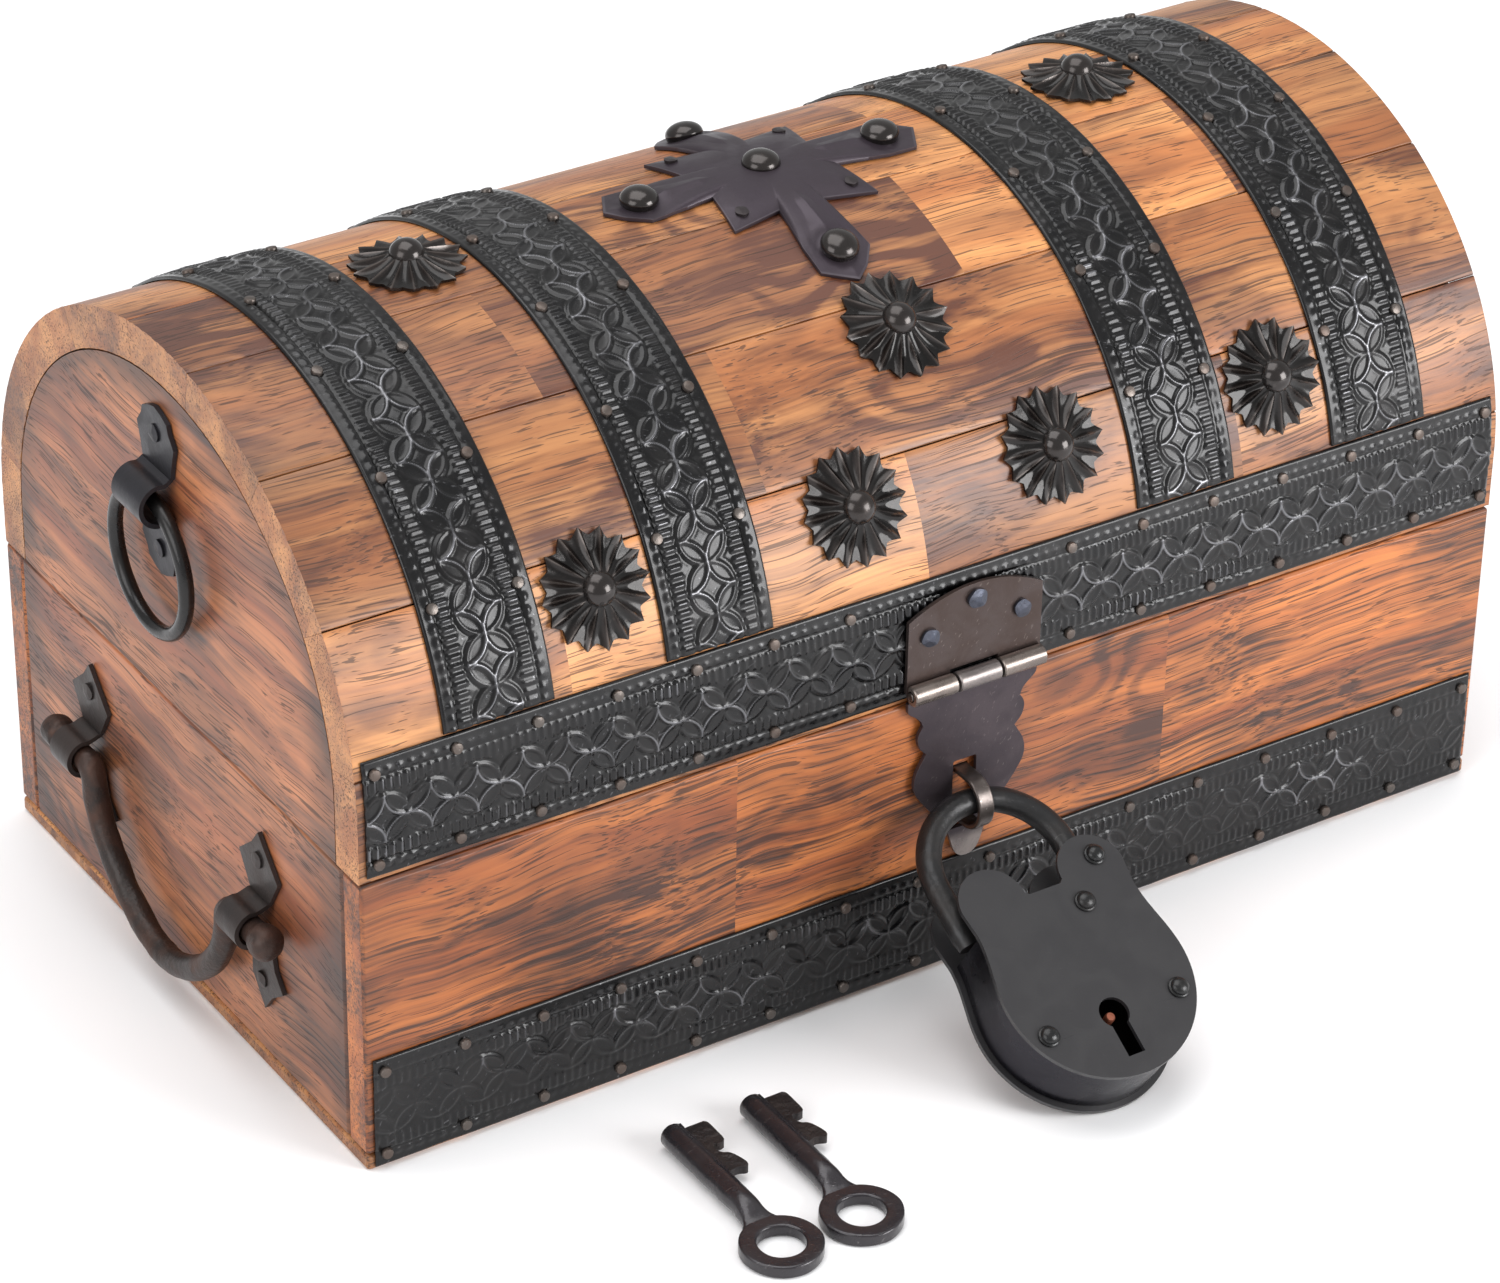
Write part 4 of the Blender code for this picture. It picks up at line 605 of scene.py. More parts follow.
def grain_group() -> Tree:
    """Build the group that draws timber: figure, dark streaks, fine pore lines, swirls and clouds.

    The grain runs along the vector's first axis. Each block of wood shifts the pattern by its own
    number, so that no two blocks match.

    Returns:
        The node group, with Figure, Streak, Pore, Swirl and Cloud between 0 and 1.
    """
    results = ("Figure", "Streak", "Pore", "Swirl", "Cloud")
    g, source, result = start_group("timber_grain", ("Block",), results)
    shift = g.node("CombineXYZ", {axis: g.scaled(source["Block"], step)
                                  for axis, step in enumerate((3.1, 1.7, 2.3))}).outputs[0]
    place = g.vector("ADD", source["Vector"], shift)
    bend = g.node("TexNoise", {"Vector": place, "Scale": 14.0, "Detail": 2.0}).outputs["Color"]
    bend = g.vector("MULTIPLY", g.vector("SUBTRACT", bend, (0.5, 0.5, 0.5)), (0.0, 0.014, 0.014))
    bent = g.vector("ADD", place, bend)
    g.feed(result["Figure"], g.remap(g.noise(bent, (6.0, 85.0, 85.0), 5.0, 0.4), 0.34, 0.66))
    fine = g.noise(bent, (11.0, 920.0, 920.0), 5.0)
    band = g.noise(bent, (5.0, 260.0, 260.0), 3.0)
    thick = g.noise(bent, (5.0, 48.0, 48.0), 3.0)
    streak = g.scaled(thick, 0.50, g.math("SUBTRACT", g.scaled(band, 0.35, g.scaled(fine, 0.65)), 0.25))
    g.feed(result["Streak"], g.remap(streak, 0.35, 0.80))
    edge = g.scaled(g.noise(bent, (10.0, 70.0, 70.0), 2.0), -0.30, 0.74)
    pore = g.math("SUBTRACT", g.noise(bent, (17.0, 1750.0, 1750.0), 1.0), edge)
    g.feed(result["Pore"], g.remap(pore, 0.0, 0.05))
    rings = g.math("SINE", g.scaled(g.noise(place, (16.0, 30.0, 30.0), 1.0), 62.0))
    near = g.remap(g.noise(place, 9.0, 1.0), 0.52, 0.66)
    g.feed(result["Swirl"], g.scaled(g.remap(rings, -0.6, 1.0), near))
    g.feed(result["Cloud"], g.remap(g.noise(place, (20.0, 60.0, 60.0), 4.0, 0.5), 0.44, 0.66))
    return g.tree


def scuff_group() -> Tree:
    """Build the group that draws handling marks: blotches, fine speckle, scratches and lumps.

    Returns:
        The node group, with Blotch, Speckle, Scratch and Lump between 0 and 1.
    """
    g, source, result = start_group("handling_marks", (), ("Blotch", "Speckle", "Scratch", "Lump"))
    place = source["Vector"]
    g.feed(result["Blotch"], g.remap(g.noise(place, 95.0, 4.0, 0.6), 0.35, 0.68))
    g.feed(result["Speckle"], g.remap(g.noise(place, 1500.0, 2.0), 0.56, 0.72))
    slanted = g.node("VectorRotate", {"Vector": place, "Axis": (0.3, 0.8, 0.5), "Angle": 0.7}).outputs[0]
    g.feed(result["Scratch"], g.remap(g.noise(slanted, (45.0, 2600.0, 900.0), 2.0), 0.66, 0.74))
    g.feed(result["Lump"], g.noise(place, 330.0, 3.0))
    return g.tree


class Groups:
    """The shared node groups, each built once."""

    grain = grain_group()
    scuff = scuff_group()


def new_material(name: str) -> tuple[Material, Graph, Sockets]:
    """Make an empty Principled material and return it with its graph and its shader's inputs."""
    material = bpy.data.materials.new(name)
    material.use_nodes = True
    tree = material.node_tree
    return material, Graph(tree), tree.nodes["Principled BSDF"].inputs


def colour(red: float, green: float, blue: float) -> tuple[float, float, float, float]:
    """Return a display colour of 0 to 255 as a linear colour with full alpha."""
    share = np.array((red, green, blue)) / 255.0
    linear = np.where(share <= 0.04045, share / 12.92, ((share + 0.055) / 1.055) ** 2.4)
    return (*linear.tolist(), 1.0)


@dataclass(frozen=True)
class WoodFinish:
    """Oiled and lightly scorched timber with dark pores."""

    name: str
    light: Triple
    middle: Triple
    dark: Triple
    pore: Triple
    grain: Grain
    tone_spread: float
    scorch: float
    streak_share: float = 0.50

    def material(self) -> Material:
        """Build the finish.

        Colour: middle to light by the figure, darker along the streaks and swirls and by a tone for
        each block, nearly black where it is scorched, with pores on top.

        Returns:
            The material. It reads the numbers "block" and "scorch" of the piece.
        """
        material, g, shader = new_material(self.name)
        place = along = g.object_place()
        if self.grain is Grain.ALONG_END:
            x, y, z = g.node("SeparateXYZ", {0: place}).outputs
            along = g.node("CombineXYZ", {0: y, 1: z, 2: x}).outputs[0]
        block = g.own_number("block")
        grain = g.node("Group", {"Vector": along, "Block": block}, node_tree=Groups.grain)
        figure, streak, pore, swirl, cloud = grain.outputs
        base = g.mix(figure, self.middle, self.light)
        tone = g.math("FRACT", g.scaled(block, 7.37))
        deep = g.scaled(streak, self.streak_share, g.scaled(swirl, g.scaled(tone, 0.35, 0.10)))
        deep = g.scaled(cloud, 0.36, g.scaled(tone, self.tone_spread, deep))
        base = g.mix(g.clamped(deep), base, self.dark)
        burnt = g.math("ADD", g.remap(g.noise(place, 13.0, 4.0, 0.8), 0.60, 0.86), g.own_number("scorch"))
        base = g.mix(g.clamped(g.scaled(burnt, self.scorch)), base, tuple(0.36 * c for c in self.dark))
        g.feed(shader["Base Color"], g.mix(g.scaled(pore, 0.72), base, self.pore))
        g.feed(shader["Roughness"], g.scaled(pore, 0.20, g.scaled(streak, -0.07, 0.52)))
        height = g.math("SUBTRACT", g.scaled(streak, -0.30), pore)
        g.feed(shader["Normal"], g.bump(height, 0.35, 0.00025))
        shader["Coat Weight"].default_value = 0.30
        shader["Coat Roughness"].default_value = 0.30
        return material


@dataclass(frozen=True)
class MetalFinish:
    """Painted, browned or worn iron, with handling marks, crests brightened by wear and a painted highlight,
    and painted shade in its hollows.
    """

    name: str
    base: Triple
    # colour of worn metal on scratches, and of the crests as worn metal with a painted highlight
    wear_and_sheen_colour: Triple
    stain: Triple
    metallic: float
    roughness: float
    lump: float
    lump_depth: float
    stain_share: float
    scratch_share: float
    coat: float = 0.0
    reads_relief: bool = False

    def material(self) -> Material:
        """Build the finish.

        Colour: the base, stained in blotches, worn brighter on scratches and, where the piece
        stores its relief, brighter on the crests as wear and painted highlight, and darker in the hollows as
        painted shade.

        Returns:
            The material. It reads the number "relief" of the piece if reads_relief is set.
        """
        material, g, shader = new_material(self.name)
        marks = g.node("Group", {"Vector": g.object_place()}, node_tree=Groups.scuff)
        blotch, speckle, scratch, lump = marks.outputs
        base = g.mix(g.scaled(blotch, self.stain_share), self.base, self.stain)
        wear_and_sheen = g.scaled(scratch, self.scratch_share)
        if self.reads_relief:
            relief = g.own_number("relief")
            # painted shade: hollows of the relief are darkened towards a third of the base colour
            hollow = g.scaled(g.remap(relief, 0.45, 0.0), 0.88)
            base = g.mix(hollow, base, tuple(0.35 * c for c in self.base))
            # crests of the relief take the bright colour, partly worn metal and partly a painted highlight
            wear_and_sheen = g.scaled(g.remap(relief, 0.55, 0.95), g.scaled(blotch, 0.40, 0.52), wear_and_sheen)
        wear_and_sheen = g.clamped(wear_and_sheen)
        base = g.mix(wear_and_sheen, base, self.wear_and_sheen_colour)
        g.feed(shader["Base Color"], g.mix(g.scaled(speckle, 0.22), base, self.stain))
        rough = g.scaled(blotch, 0.14, self.roughness - 0.07)
        g.feed(shader["Roughness"], g.scaled(wear_and_sheen, -0.10, rough))
        g.feed(shader["Normal"], g.bump(g.scaled(speckle, 0.12, lump), self.lump, self.lump_depth))
        shader["Metallic"].default_value = self.metallic
        shader["Coat Weight"].default_value = self.coat
        shader["Coat Roughness"].default_value = 0.18
        return material


class Finishes:
    """Every finish of the chest, each built once."""

    stave_wood = WoodFinish("stave_timber", (224, 156, 94), (182, 112, 60), (84, 43, 24), (50, 27, 17),
                            Grain.ALONG_FRONT, 0.55, 0.7).material()
    front_wood = WoodFinish("front_timber", (214, 126, 58), (160, 83, 36), (62, 30, 16), (42, 22, 13),
                            Grain.ALONG_FRONT, 0.35, 0.7, 1.00).material()
    end_wood = WoodFinish("end_timber", (200, 126, 78), (146, 80, 50), (60, 33, 24), (38, 22, 17),
                          Grain.ALONG_END, 0.35, 0.9, 0.60).material()
    strap_black = MetalFinish("embossed_black_iron", (19, 19, 21), (152, 152, 157), (38, 34, 32),
                              0.60, 0.30, 0.25, 0.0002, 0.25, 0.20, 0.30, True).material()
    sheet_black = MetalFinish("pressed_black_sheet", (24, 20, 19), (92, 84, 80), (54, 42, 37),
                              0.60, 0.28, 0.35, 0.0003, 0.35, 0.15, 0.25, True).material()
    cross_sheet = MetalFinish("pressed_cross_sheet", (58, 50, 58), (100, 94, 100), (44, 37, 40),
                              0.50, 0.44, 0.25, 0.0003, 0.30, 0.12, 0.0, True).material()
    sheet_nail = MetalFinish("flat_sheet_nail", (52, 46, 48), (120, 112, 112), (40, 34, 34),
                             0.55, 0.40, 0.40, 0.0003, 0.35, 0.20).material()
    stud_black = MetalFinish("glossy_black_stud", (48, 44, 43), (104, 100, 96), (52, 43, 38),
                             0.75, 0.22, 0.25, 0.0003, 0.30, 0.15, 0.35).material()
    nail_iron = MetalFinish("strap_nail_iron", (92, 86, 82), (164, 160, 156), (86, 62, 50),
                            0.75, 0.40, 0.45, 0.0003, 0.40, 0.30).material()
    hasp_steel = MetalFinish("browned_hasp_steel", (76, 66, 64), (150, 140, 133), (62, 48, 42),
                             0.75, 0.34, 0.20, 0.0003, 0.60, 0.30, 0.0, True).material()
    flap_steel = MetalFinish("browned_flap_steel", (70, 62, 66), (150, 142, 138), (46, 41, 47),
                             0.72, 0.38, 0.20, 0.0003, 0.45, 0.20, 0.0, True).material()
    hasp_nail = MetalFinish("hammered_hasp_nail", (74, 78, 90), (140, 144, 154), (52, 46, 46),
                            0.75, 0.38, 0.60, 0.0004, 0.35, 0.25).material()
    worn_steel = MetalFinish("worn_grey_steel", (98, 91, 88), (172, 165, 160), (70, 60, 55),
                             0.85, 0.36, 0.30, 0.0003, 0.40, 0.40).material()
    lock_black = MetalFinish("matte_lock_black", (42, 41, 43), (84, 83, 86), (34, 33, 34),
                             0.25, 0.46, 0.16, 0.0003, 0.30, 0.10, 0.30).material()
    lock_band = MetalFinish("satin_lock_band", (38, 36, 43), (70, 68, 76), (32, 30, 35),
                            0.90, 0.30, 0.14, 0.0003, 0.20, 0.10).material()
    shackle_black = MetalFinish("shackle_black", (42, 42, 43), (108, 106, 105), (50, 45, 42),
                                0.55, 0.40, 0.50, 0.0004, 0.40, 0.25).material()
    lock_rivet = MetalFinish("lock_rivet_black", (34, 35, 36), (92, 92, 94), (44, 38, 36),
                             0.55, 0.30, 0.45, 0.0004, 0.25, 0.15, 0.1).material()
    copper = MetalFinish("rusty_copper_post", (150, 88, 66), (190, 128, 100), (90, 50, 38),
                         0.55, 0.50, 0.60, 0.0004, 0.50, 0.25).material()
    key_iron = MetalFinish("dark_key_iron", (46, 43, 47), (140, 136, 136), (42, 39, 41),
                           0.45, 0.28, 0.50, 0.0004, 0.35, 0.30, 0.3).material()
    bit_iron = MetalFinish("pitted_bit_iron", (44, 41, 42), (124, 114, 110), (58, 49, 46),
                           0.55, 0.44, 1.00, 0.0008, 0.55, 0.25).material()
    handle_iron = MetalFinish("brown_black_handle_iron", (46, 40, 38), (96, 84, 78), (84, 56, 44),
                              0.50, 0.46, 0.70, 0.0005, 0.60, 0.20).material()
    clip_iron = MetalFinish("forged_clip_iron", (54, 49, 48), (108, 98, 92), (62, 48, 42),
                            0.50, 0.44, 0.35, 0.0004, 0.40, 0.22).material()
    ring_clip_black = MetalFinish("smooth_ring_clip", (48, 47, 52), (110, 108, 110), (34, 33, 34),
                                  0.55, 0.40, 0.30, 0.0003, 0.40, 0.18).material()
    ring_black = MetalFinish("glossy_ring_black", (30, 30, 31), (104, 102, 100), (46, 41, 38),
                             0.55, 0.28, 0.35, 0.0003, 0.25, 0.20, 0.15).material()


# ---------------------------------------------------------------- wood and straps


def wood_numbers(piece: Piece, length_axis: int, blocks: Array, numbers: Array, scorch: Array) -> None:
    """Store each face's block number and each point's scorching.

    A face belongs to the block whose stretch of the length its middle lies in. The end faces get
    a small number, which is a light tone.

    Args:
        piece: The piece of wood.
        length_axis: Axis that the blocks follow each other along.
        blocks: Places where one block ends and the next begins.
        numbers: A random number for each block.
        scorch: How scorched each point is, 0 to 1.
    """
    polygons = piece.data.polygons
    centres = np.zeros(len(polygons) * 3)
    polygons.foreach_get("center", centres)
    along = centres.reshape(-1, 3)[:, length_axis]
    at_end = np.minimum(along - along.min(), along.max() - along) < 0.0001
    values = np.where(at_end, 0.07 * numbers[0], numbers[np.searchsorted(blocks, along)])
    store_numbers(piece, "block", values, "FACE")
    store_numbers(piece, "scorch", scorch)


def edge_scorch(points: Array, low: Array, high: Array, reach: float, seed: int) -> Array:
    """Return how scorched each point is near the short ends of a board.

    It is one at the end and falls to zero at the reach, which wanders with a soft noise.

    Args:
        points: Points of the board.
        low: Lowest corner.
        high: Highest corner.
        reach: How far the scorching runs in.
        seed: Seed of the noise.

    Returns:
        One value per point.
    """
    near = np.minimum(points[:, 0] - low[0], high[0] - points[:, 0])
    wander = 1.0 + 0.6 * smooth_noise(points, 0.035, seed)
    return np.clip(1.0 - near / (reach * wander), 0.0, 1.0) * 0.22


@dataclass
class StaveDome:
    """The lid's nine glued staves, each made of shorter blocks butted end to end."""

    half_length: float = 0.180
    thickness: float = 0.0115
    foot: float = 0.0882
    joint: float = 0.00015
    arris: float = 0.0004
    step: float = 0.0016
    dark_block: tuple[int, int] = (3, 1)
    dark_number: float = 0.125
    joint_angles: tuple[float, ...] = (8.0, 32.5, 57.5, 80.5, 99.5, 122.5, 147.5, 172.0)
    block_ends: tuple[tuple[float, ...], ...] = (
        (-0.060, 0.095), (-0.118, -0.010, 0.092), (-0.142, -0.052, 0.060, 0.138), (-0.100, 0.030, 0.120),
        (-0.135, -0.020, 0.075), (-0.080, 0.045, 0.150), (-0.120, 0.000, 0.100), (-0.050, 0.090),
        (-0.090, 0.060))

    def arcs(self) -> list[Pair]:
        """Return the first and last arc length of each stave."""
        foot = DOME.arc_at_height(self.foot)
        whole = DOME.arc_at(math.pi)
        cuts = [DOME.arc_at(math.radians(a)) for a in self.joint_angles]
        starts = [foot] + [cut + self.joint for cut in cuts]
        ends = [cut - self.joint for cut in cuts] + [whole - foot]
        return list(zip(starts, ends))

    def stave(self, start: float, end: float) -> Shell:
        """Return one stave as a bent board.

        The outer face lies on the dome, eased down by a quarter circle at its long edges, and the
        inner face lies the thickness below it.

        Args:
            start: First arc length.
            end: Last arc length.

        Returns:
            The closed surface.
        """
        arc = np.linspace(start, end, max(4, int((end - start) / self.step)))
        edge = self.arris
        rims = (start + edge * 0.3, start + edge, end - edge, end - edge * 0.3)
        arc = np.sort(np.concatenate([arc, rims]))
        x = np.linspace(-self.half_length, self.half_length, 121)
        near = np.minimum(arc - start, end - arc)
        ease = np.clip(1.0 - near / edge, 0.0, 1.0)
        drop = edge * (1.0 - np.sqrt(1.0 - ease ** 2))
        top = DOME.place(x[:, None], arc[None, :], -drop[None, :])
        bottom = DOME.place(x[:, None], arc[None, :], -self.thickness)
        return sheet(top, bottom)

    def build(self) -> None:
        """Make the nine staves and dress them."""
        low, high = np.array(((-self.half_length, 0.0, 0.0), (self.half_length, 0.0, 0.0)))
        source = np.random.default_rng(11)
        for index, (start, end) in enumerate(self.arcs()):
            shell = self.stave(start, end)
            piece = make_piece(f"stave_{index + 1}", shell, "lid", Finishes.stave_wood,
                               (f"lid_stave_{index + 1}",), bevel=(0.0005, 2, 35.0))
            ends = np.array(self.block_ends[index])
            scorch = edge_scorch(shell.points, low, high, 0.020, 40 + index)
            numbers = source.uniform(0.0, 1.0, len(ends) + 1)
            if index == self.dark_block[0]:
                numbers[self.dark_block[1]] = self.dark_number
            wood_numbers(piece, 0, ends, numbers, scorch)


@dataclass
class Panels:
    """The flat boards of the base and the lid's end panels."""

    pitch: float = 0.006
    boards: tuple[tuple[str, str, str], ...] = (
        ("bottom_board", "base", "stave"), ("base_front_board", "base", "front"),
        ("base_back_board", "base", "front"), ("base_left_panel", "base", "end"),
        ("base_right_panel", "base", "end"), ("lid_left_panel", "lid", "end"),
        ("lid_right_panel", "lid", "end"))

    def build(self) -> None:
        """Copy each board from its CAD node, cut it finely enough to scorch, and dress it."""
        woods = {"stave": Finishes.stave_wood, "front": Finishes.front_wood, "end": Finishes.end_wood}
        source = np.random.default_rng(23)
        for index, (node, body, wood) in enumerate(self.boards):
            piece = refined_node(node, body, woods[wood], 0.0005)
            self.cut(piece, wood)
            points = mesh_points(piece)
            low, high = points.min(axis=0), points.max(axis=0)
            if wood == "end":
                axis, ends = 2, np.array(((low[2] + high[2]) * 0.5,))
                scorch = self.border_scorch(points, low, high, 60 + index)
            else:
                axis, ends = 0, np.array((-0.070, 0.068))
                scorch = edge_scorch(points, low, high, 0.016, 70 + index)
            wood_numbers(piece, axis, ends, source.uniform(0.0, 1.0, len(ends) + 1), scorch)

    def border_scorch(self, points: Array, low: Array, high: Array, seed: int) -> Array:
        """Return the scorching of an end panel: a wandering dark border along its edge, and soft clouds."""
        if low[2] < 0.05:
            near = np.minimum(points[:, 1] - low[1], high[1] - points[:, 1])
        else:
            y, z = points[:, 1] / high[1], (points[:, 2] - low[2]) / (high[2] - low[2])
            near = (1.0 - np.hypot(y, z ** 1.6)) * high[1]
        border = np.clip(0.8 - near / (0.016 * (1.0 + 0.7 * smooth_noise(points, 0.04, seed))), 0.0, 0.6)
        return border + np.clip(0.3 * smooth_noise(points, 0.05, seed + 9), 0.0, 0.4)

    def cut(self, piece: Piece, wood: str) -> None:
        """Slice a board into a grid of faces along its length and height."""
        bm = bmesh.new()
        bm.from_mesh(piece.data)
        points = mesh_points(piece)
        low, high = points.min(axis=0), points.max(axis=0)
        for axis in ((1, 2) if wood == "end" else (0, 2)):
            normal = np.eye(3)[axis]
            for place in np.arange(low[axis] + self.pitch / 2, high[axis] - self.pitch / 4, self.pitch):
                geom = bm.verts[:] + bm.edges[:] + bm.faces[:]
                bmesh.ops.bisect_plane(bm, geom=geom, plane_co=normal * place, plane_no=normal, dist=1e-6)
        bm.to_mesh(piece.data)
        bm.free()


def crest(distance: Array, width: float) -> Array:
    """Return a rounded ridge: one on its line, falling as a bell to nothing at about twice the width."""
    return np.exp(-((distance / width) ** 2))


def soft_step(distance: Array, width: float) -> Array:
    """Return one well below zero distance, nothing well above it, and a smooth fall between."""
    return 1.0 / (1.0 + np.exp(distance / width))


@dataclass
class Embossing:
    """The rolled pattern of the straps: a chain of circles, two rib ladders and two rows of beads."""

    circle: float = 0.0065
    pitch: float = 0.0132
    line: float = 0.00054
    disc_lift: float = 0.00024
    line_lift: float = 0.00062
    pillow: float = 0.00030
    petal_sink: float = 0.00050
    diamond_sink: float = 0.00044
    shadow: float = 0.00026
    ladder: float = 0.0094
    ladder_half: float = 0.0019
    rib_pitch: float = 0.0023
    rib_lift: float = 0.00062
    groove: float = 0.0118
    groove_depth: float = 0.00040
    bead: float = 0.0131
    bead_pitch: float = 0.0033
    bead_lift: float = 0.00046
    dent: float = 0.00008

    def height(self, along: Array, across: Array, seed: int, worn: float) -> Array:
        """Return the relief of the pattern.

        Each circle is a raised disc with a ridge round its rim. Four arcs of the same radius, each
        centred on a corner of the circle's square, cut it into four petals round a hollow diamond.
        The ribs are bars across the ladder, and the beads are small domes near the edge.

        Args:
            along: Place along the strap.
            across: Place across the strap from its middle.
            seed: Seed of the uneven pressing.
            worn: Share of the relief that is lost to uneven pressing.

        Returns:
            Height in metres above the plain sheet.
        """
        u = (along + self.pitch / 2) % self.pitch - self.pitch / 2
        u = u * (2 * self.circle / self.pitch)
        side = np.abs(across)
        radius = np.hypot(u, across)
        corner = np.hypot(np.abs(u) - self.circle, side - self.circle)
        inside = soft_step(radius - self.circle - self.line, self.line * 0.30)
        rim = crest(radius - self.circle, self.line)
        arcs = crest(corner - self.circle, self.line) * inside
        in_petal = inside * soft_step(corner - self.circle + self.line, self.line * 0.5)
        in_diamond = inside * soft_step(self.circle + self.line - corner, self.line * 0.5)
        pillow = np.clip(np.minimum(self.circle - radius, self.circle - corner) / 0.0011, 0.0, 1.0)
        pad = np.clip((corner - self.circle) / 0.0016, 0.0, 1.0) ** 2
        chain = self.disc_lift * inside + self.line_lift * np.maximum(rim, arcs)
        chain += in_petal * (self.pillow * pillow - self.petal_sink)
        chain += in_diamond * (self.pillow * pad - self.diamond_sink)
        chain -= self.shadow * crest(radius - self.circle - 0.0012, 0.0005)
        rib = (0.5 + 0.5 * np.cos(2 * np.pi * along / self.rib_pitch)) ** 1.6
        ladder = self.rib_lift * rib * soft_step(np.abs(side - self.ladder) - self.ladder_half, 0.00016)
        groove = self.groove_depth * crest(side - self.groove, 0.00034)
        wave = along + 0.35 * self.bead_pitch * np.sign(across)
        bead_u = (wave + self.bead_pitch / 2) % self.bead_pitch - self.bead_pitch / 2
        bead = self.bead_lift * crest(np.hypot(bead_u * 0.8, side - self.bead), 0.0009)
        spots = np.stack([along, across, np.zeros_like(along) + seed * 0.37], axis=-1)
        press = 1.0 - worn * np.clip(0.5 + 0.8 * smooth_noise(spots, 0.045, seed), 0.0, 1.0)
        edge_press = np.clip(0.85 + 0.45 * smooth_noise(spots, 0.028, seed + 1), 0.35, 1.15)
        dents = self.dent * smooth_noise(spots, 0.011, seed + 2)
        return chain * press + (ladder - groove + bead) * press * edge_press + dents


@dataclass
class Strap:
    """One embossed strap laid over the wood."""

    name: str
    node: str
    body: str
    width: float
    worn: float
    seed: int
    phase: float = 0.0050
    inner: float = 0.0003
    sheet: float = 0.0008
    edge: float = 0.0005
    step: float = 0.00042

    def make(self, length: float, at: Callable[[Array, Array, Array], Array]) -> None:
        """Make the strap.

        Its face is the plain sheet plus the pattern, rolled down by a quarter circle at its edges.

        Args:
            length: Length of the strap.
            at: Gives points from places along and across the strap and their lift off the wood.
        """
        along = np.linspace(0.0, length, int(length / self.step))[:, None]
        across = np.linspace(-self.width / 2, self.width / 2, int(self.width / self.step))[None, :]
        u, v = np.broadcast_arrays(along, across)
        pattern = Embossing().height(u - self.phase, v, self.seed, self.worn)
        near = np.minimum(self.width / 2 - np.abs(v), np.minimum(u, length - u))
        roll = 1.0 - np.sqrt(1.0 - np.clip(1.0 - near / self.edge, 0.0, 1.0) ** 2)
        top = at(along, across, self.inner + self.sheet + pattern - self.edge * roll)
        shell = sheet(top, at(along, across[:, (0, -1)], self.inner))
        piece = make_piece(self.name, shell, self.body, Finishes.strap_black,
                           (self.node,), 70.0)
        # numbers for the finish: low ones get painted shade, high ones wear and a painted highlight; the
        # underside gets 0.3
        raised = np.full(len(shell.points), 0.3)
        raised[:pattern.size] = np.clip((pattern + 0.0003) / 0.0013, 0.0, 1.0).ravel()
        store_numbers(piece, "relief", raised)


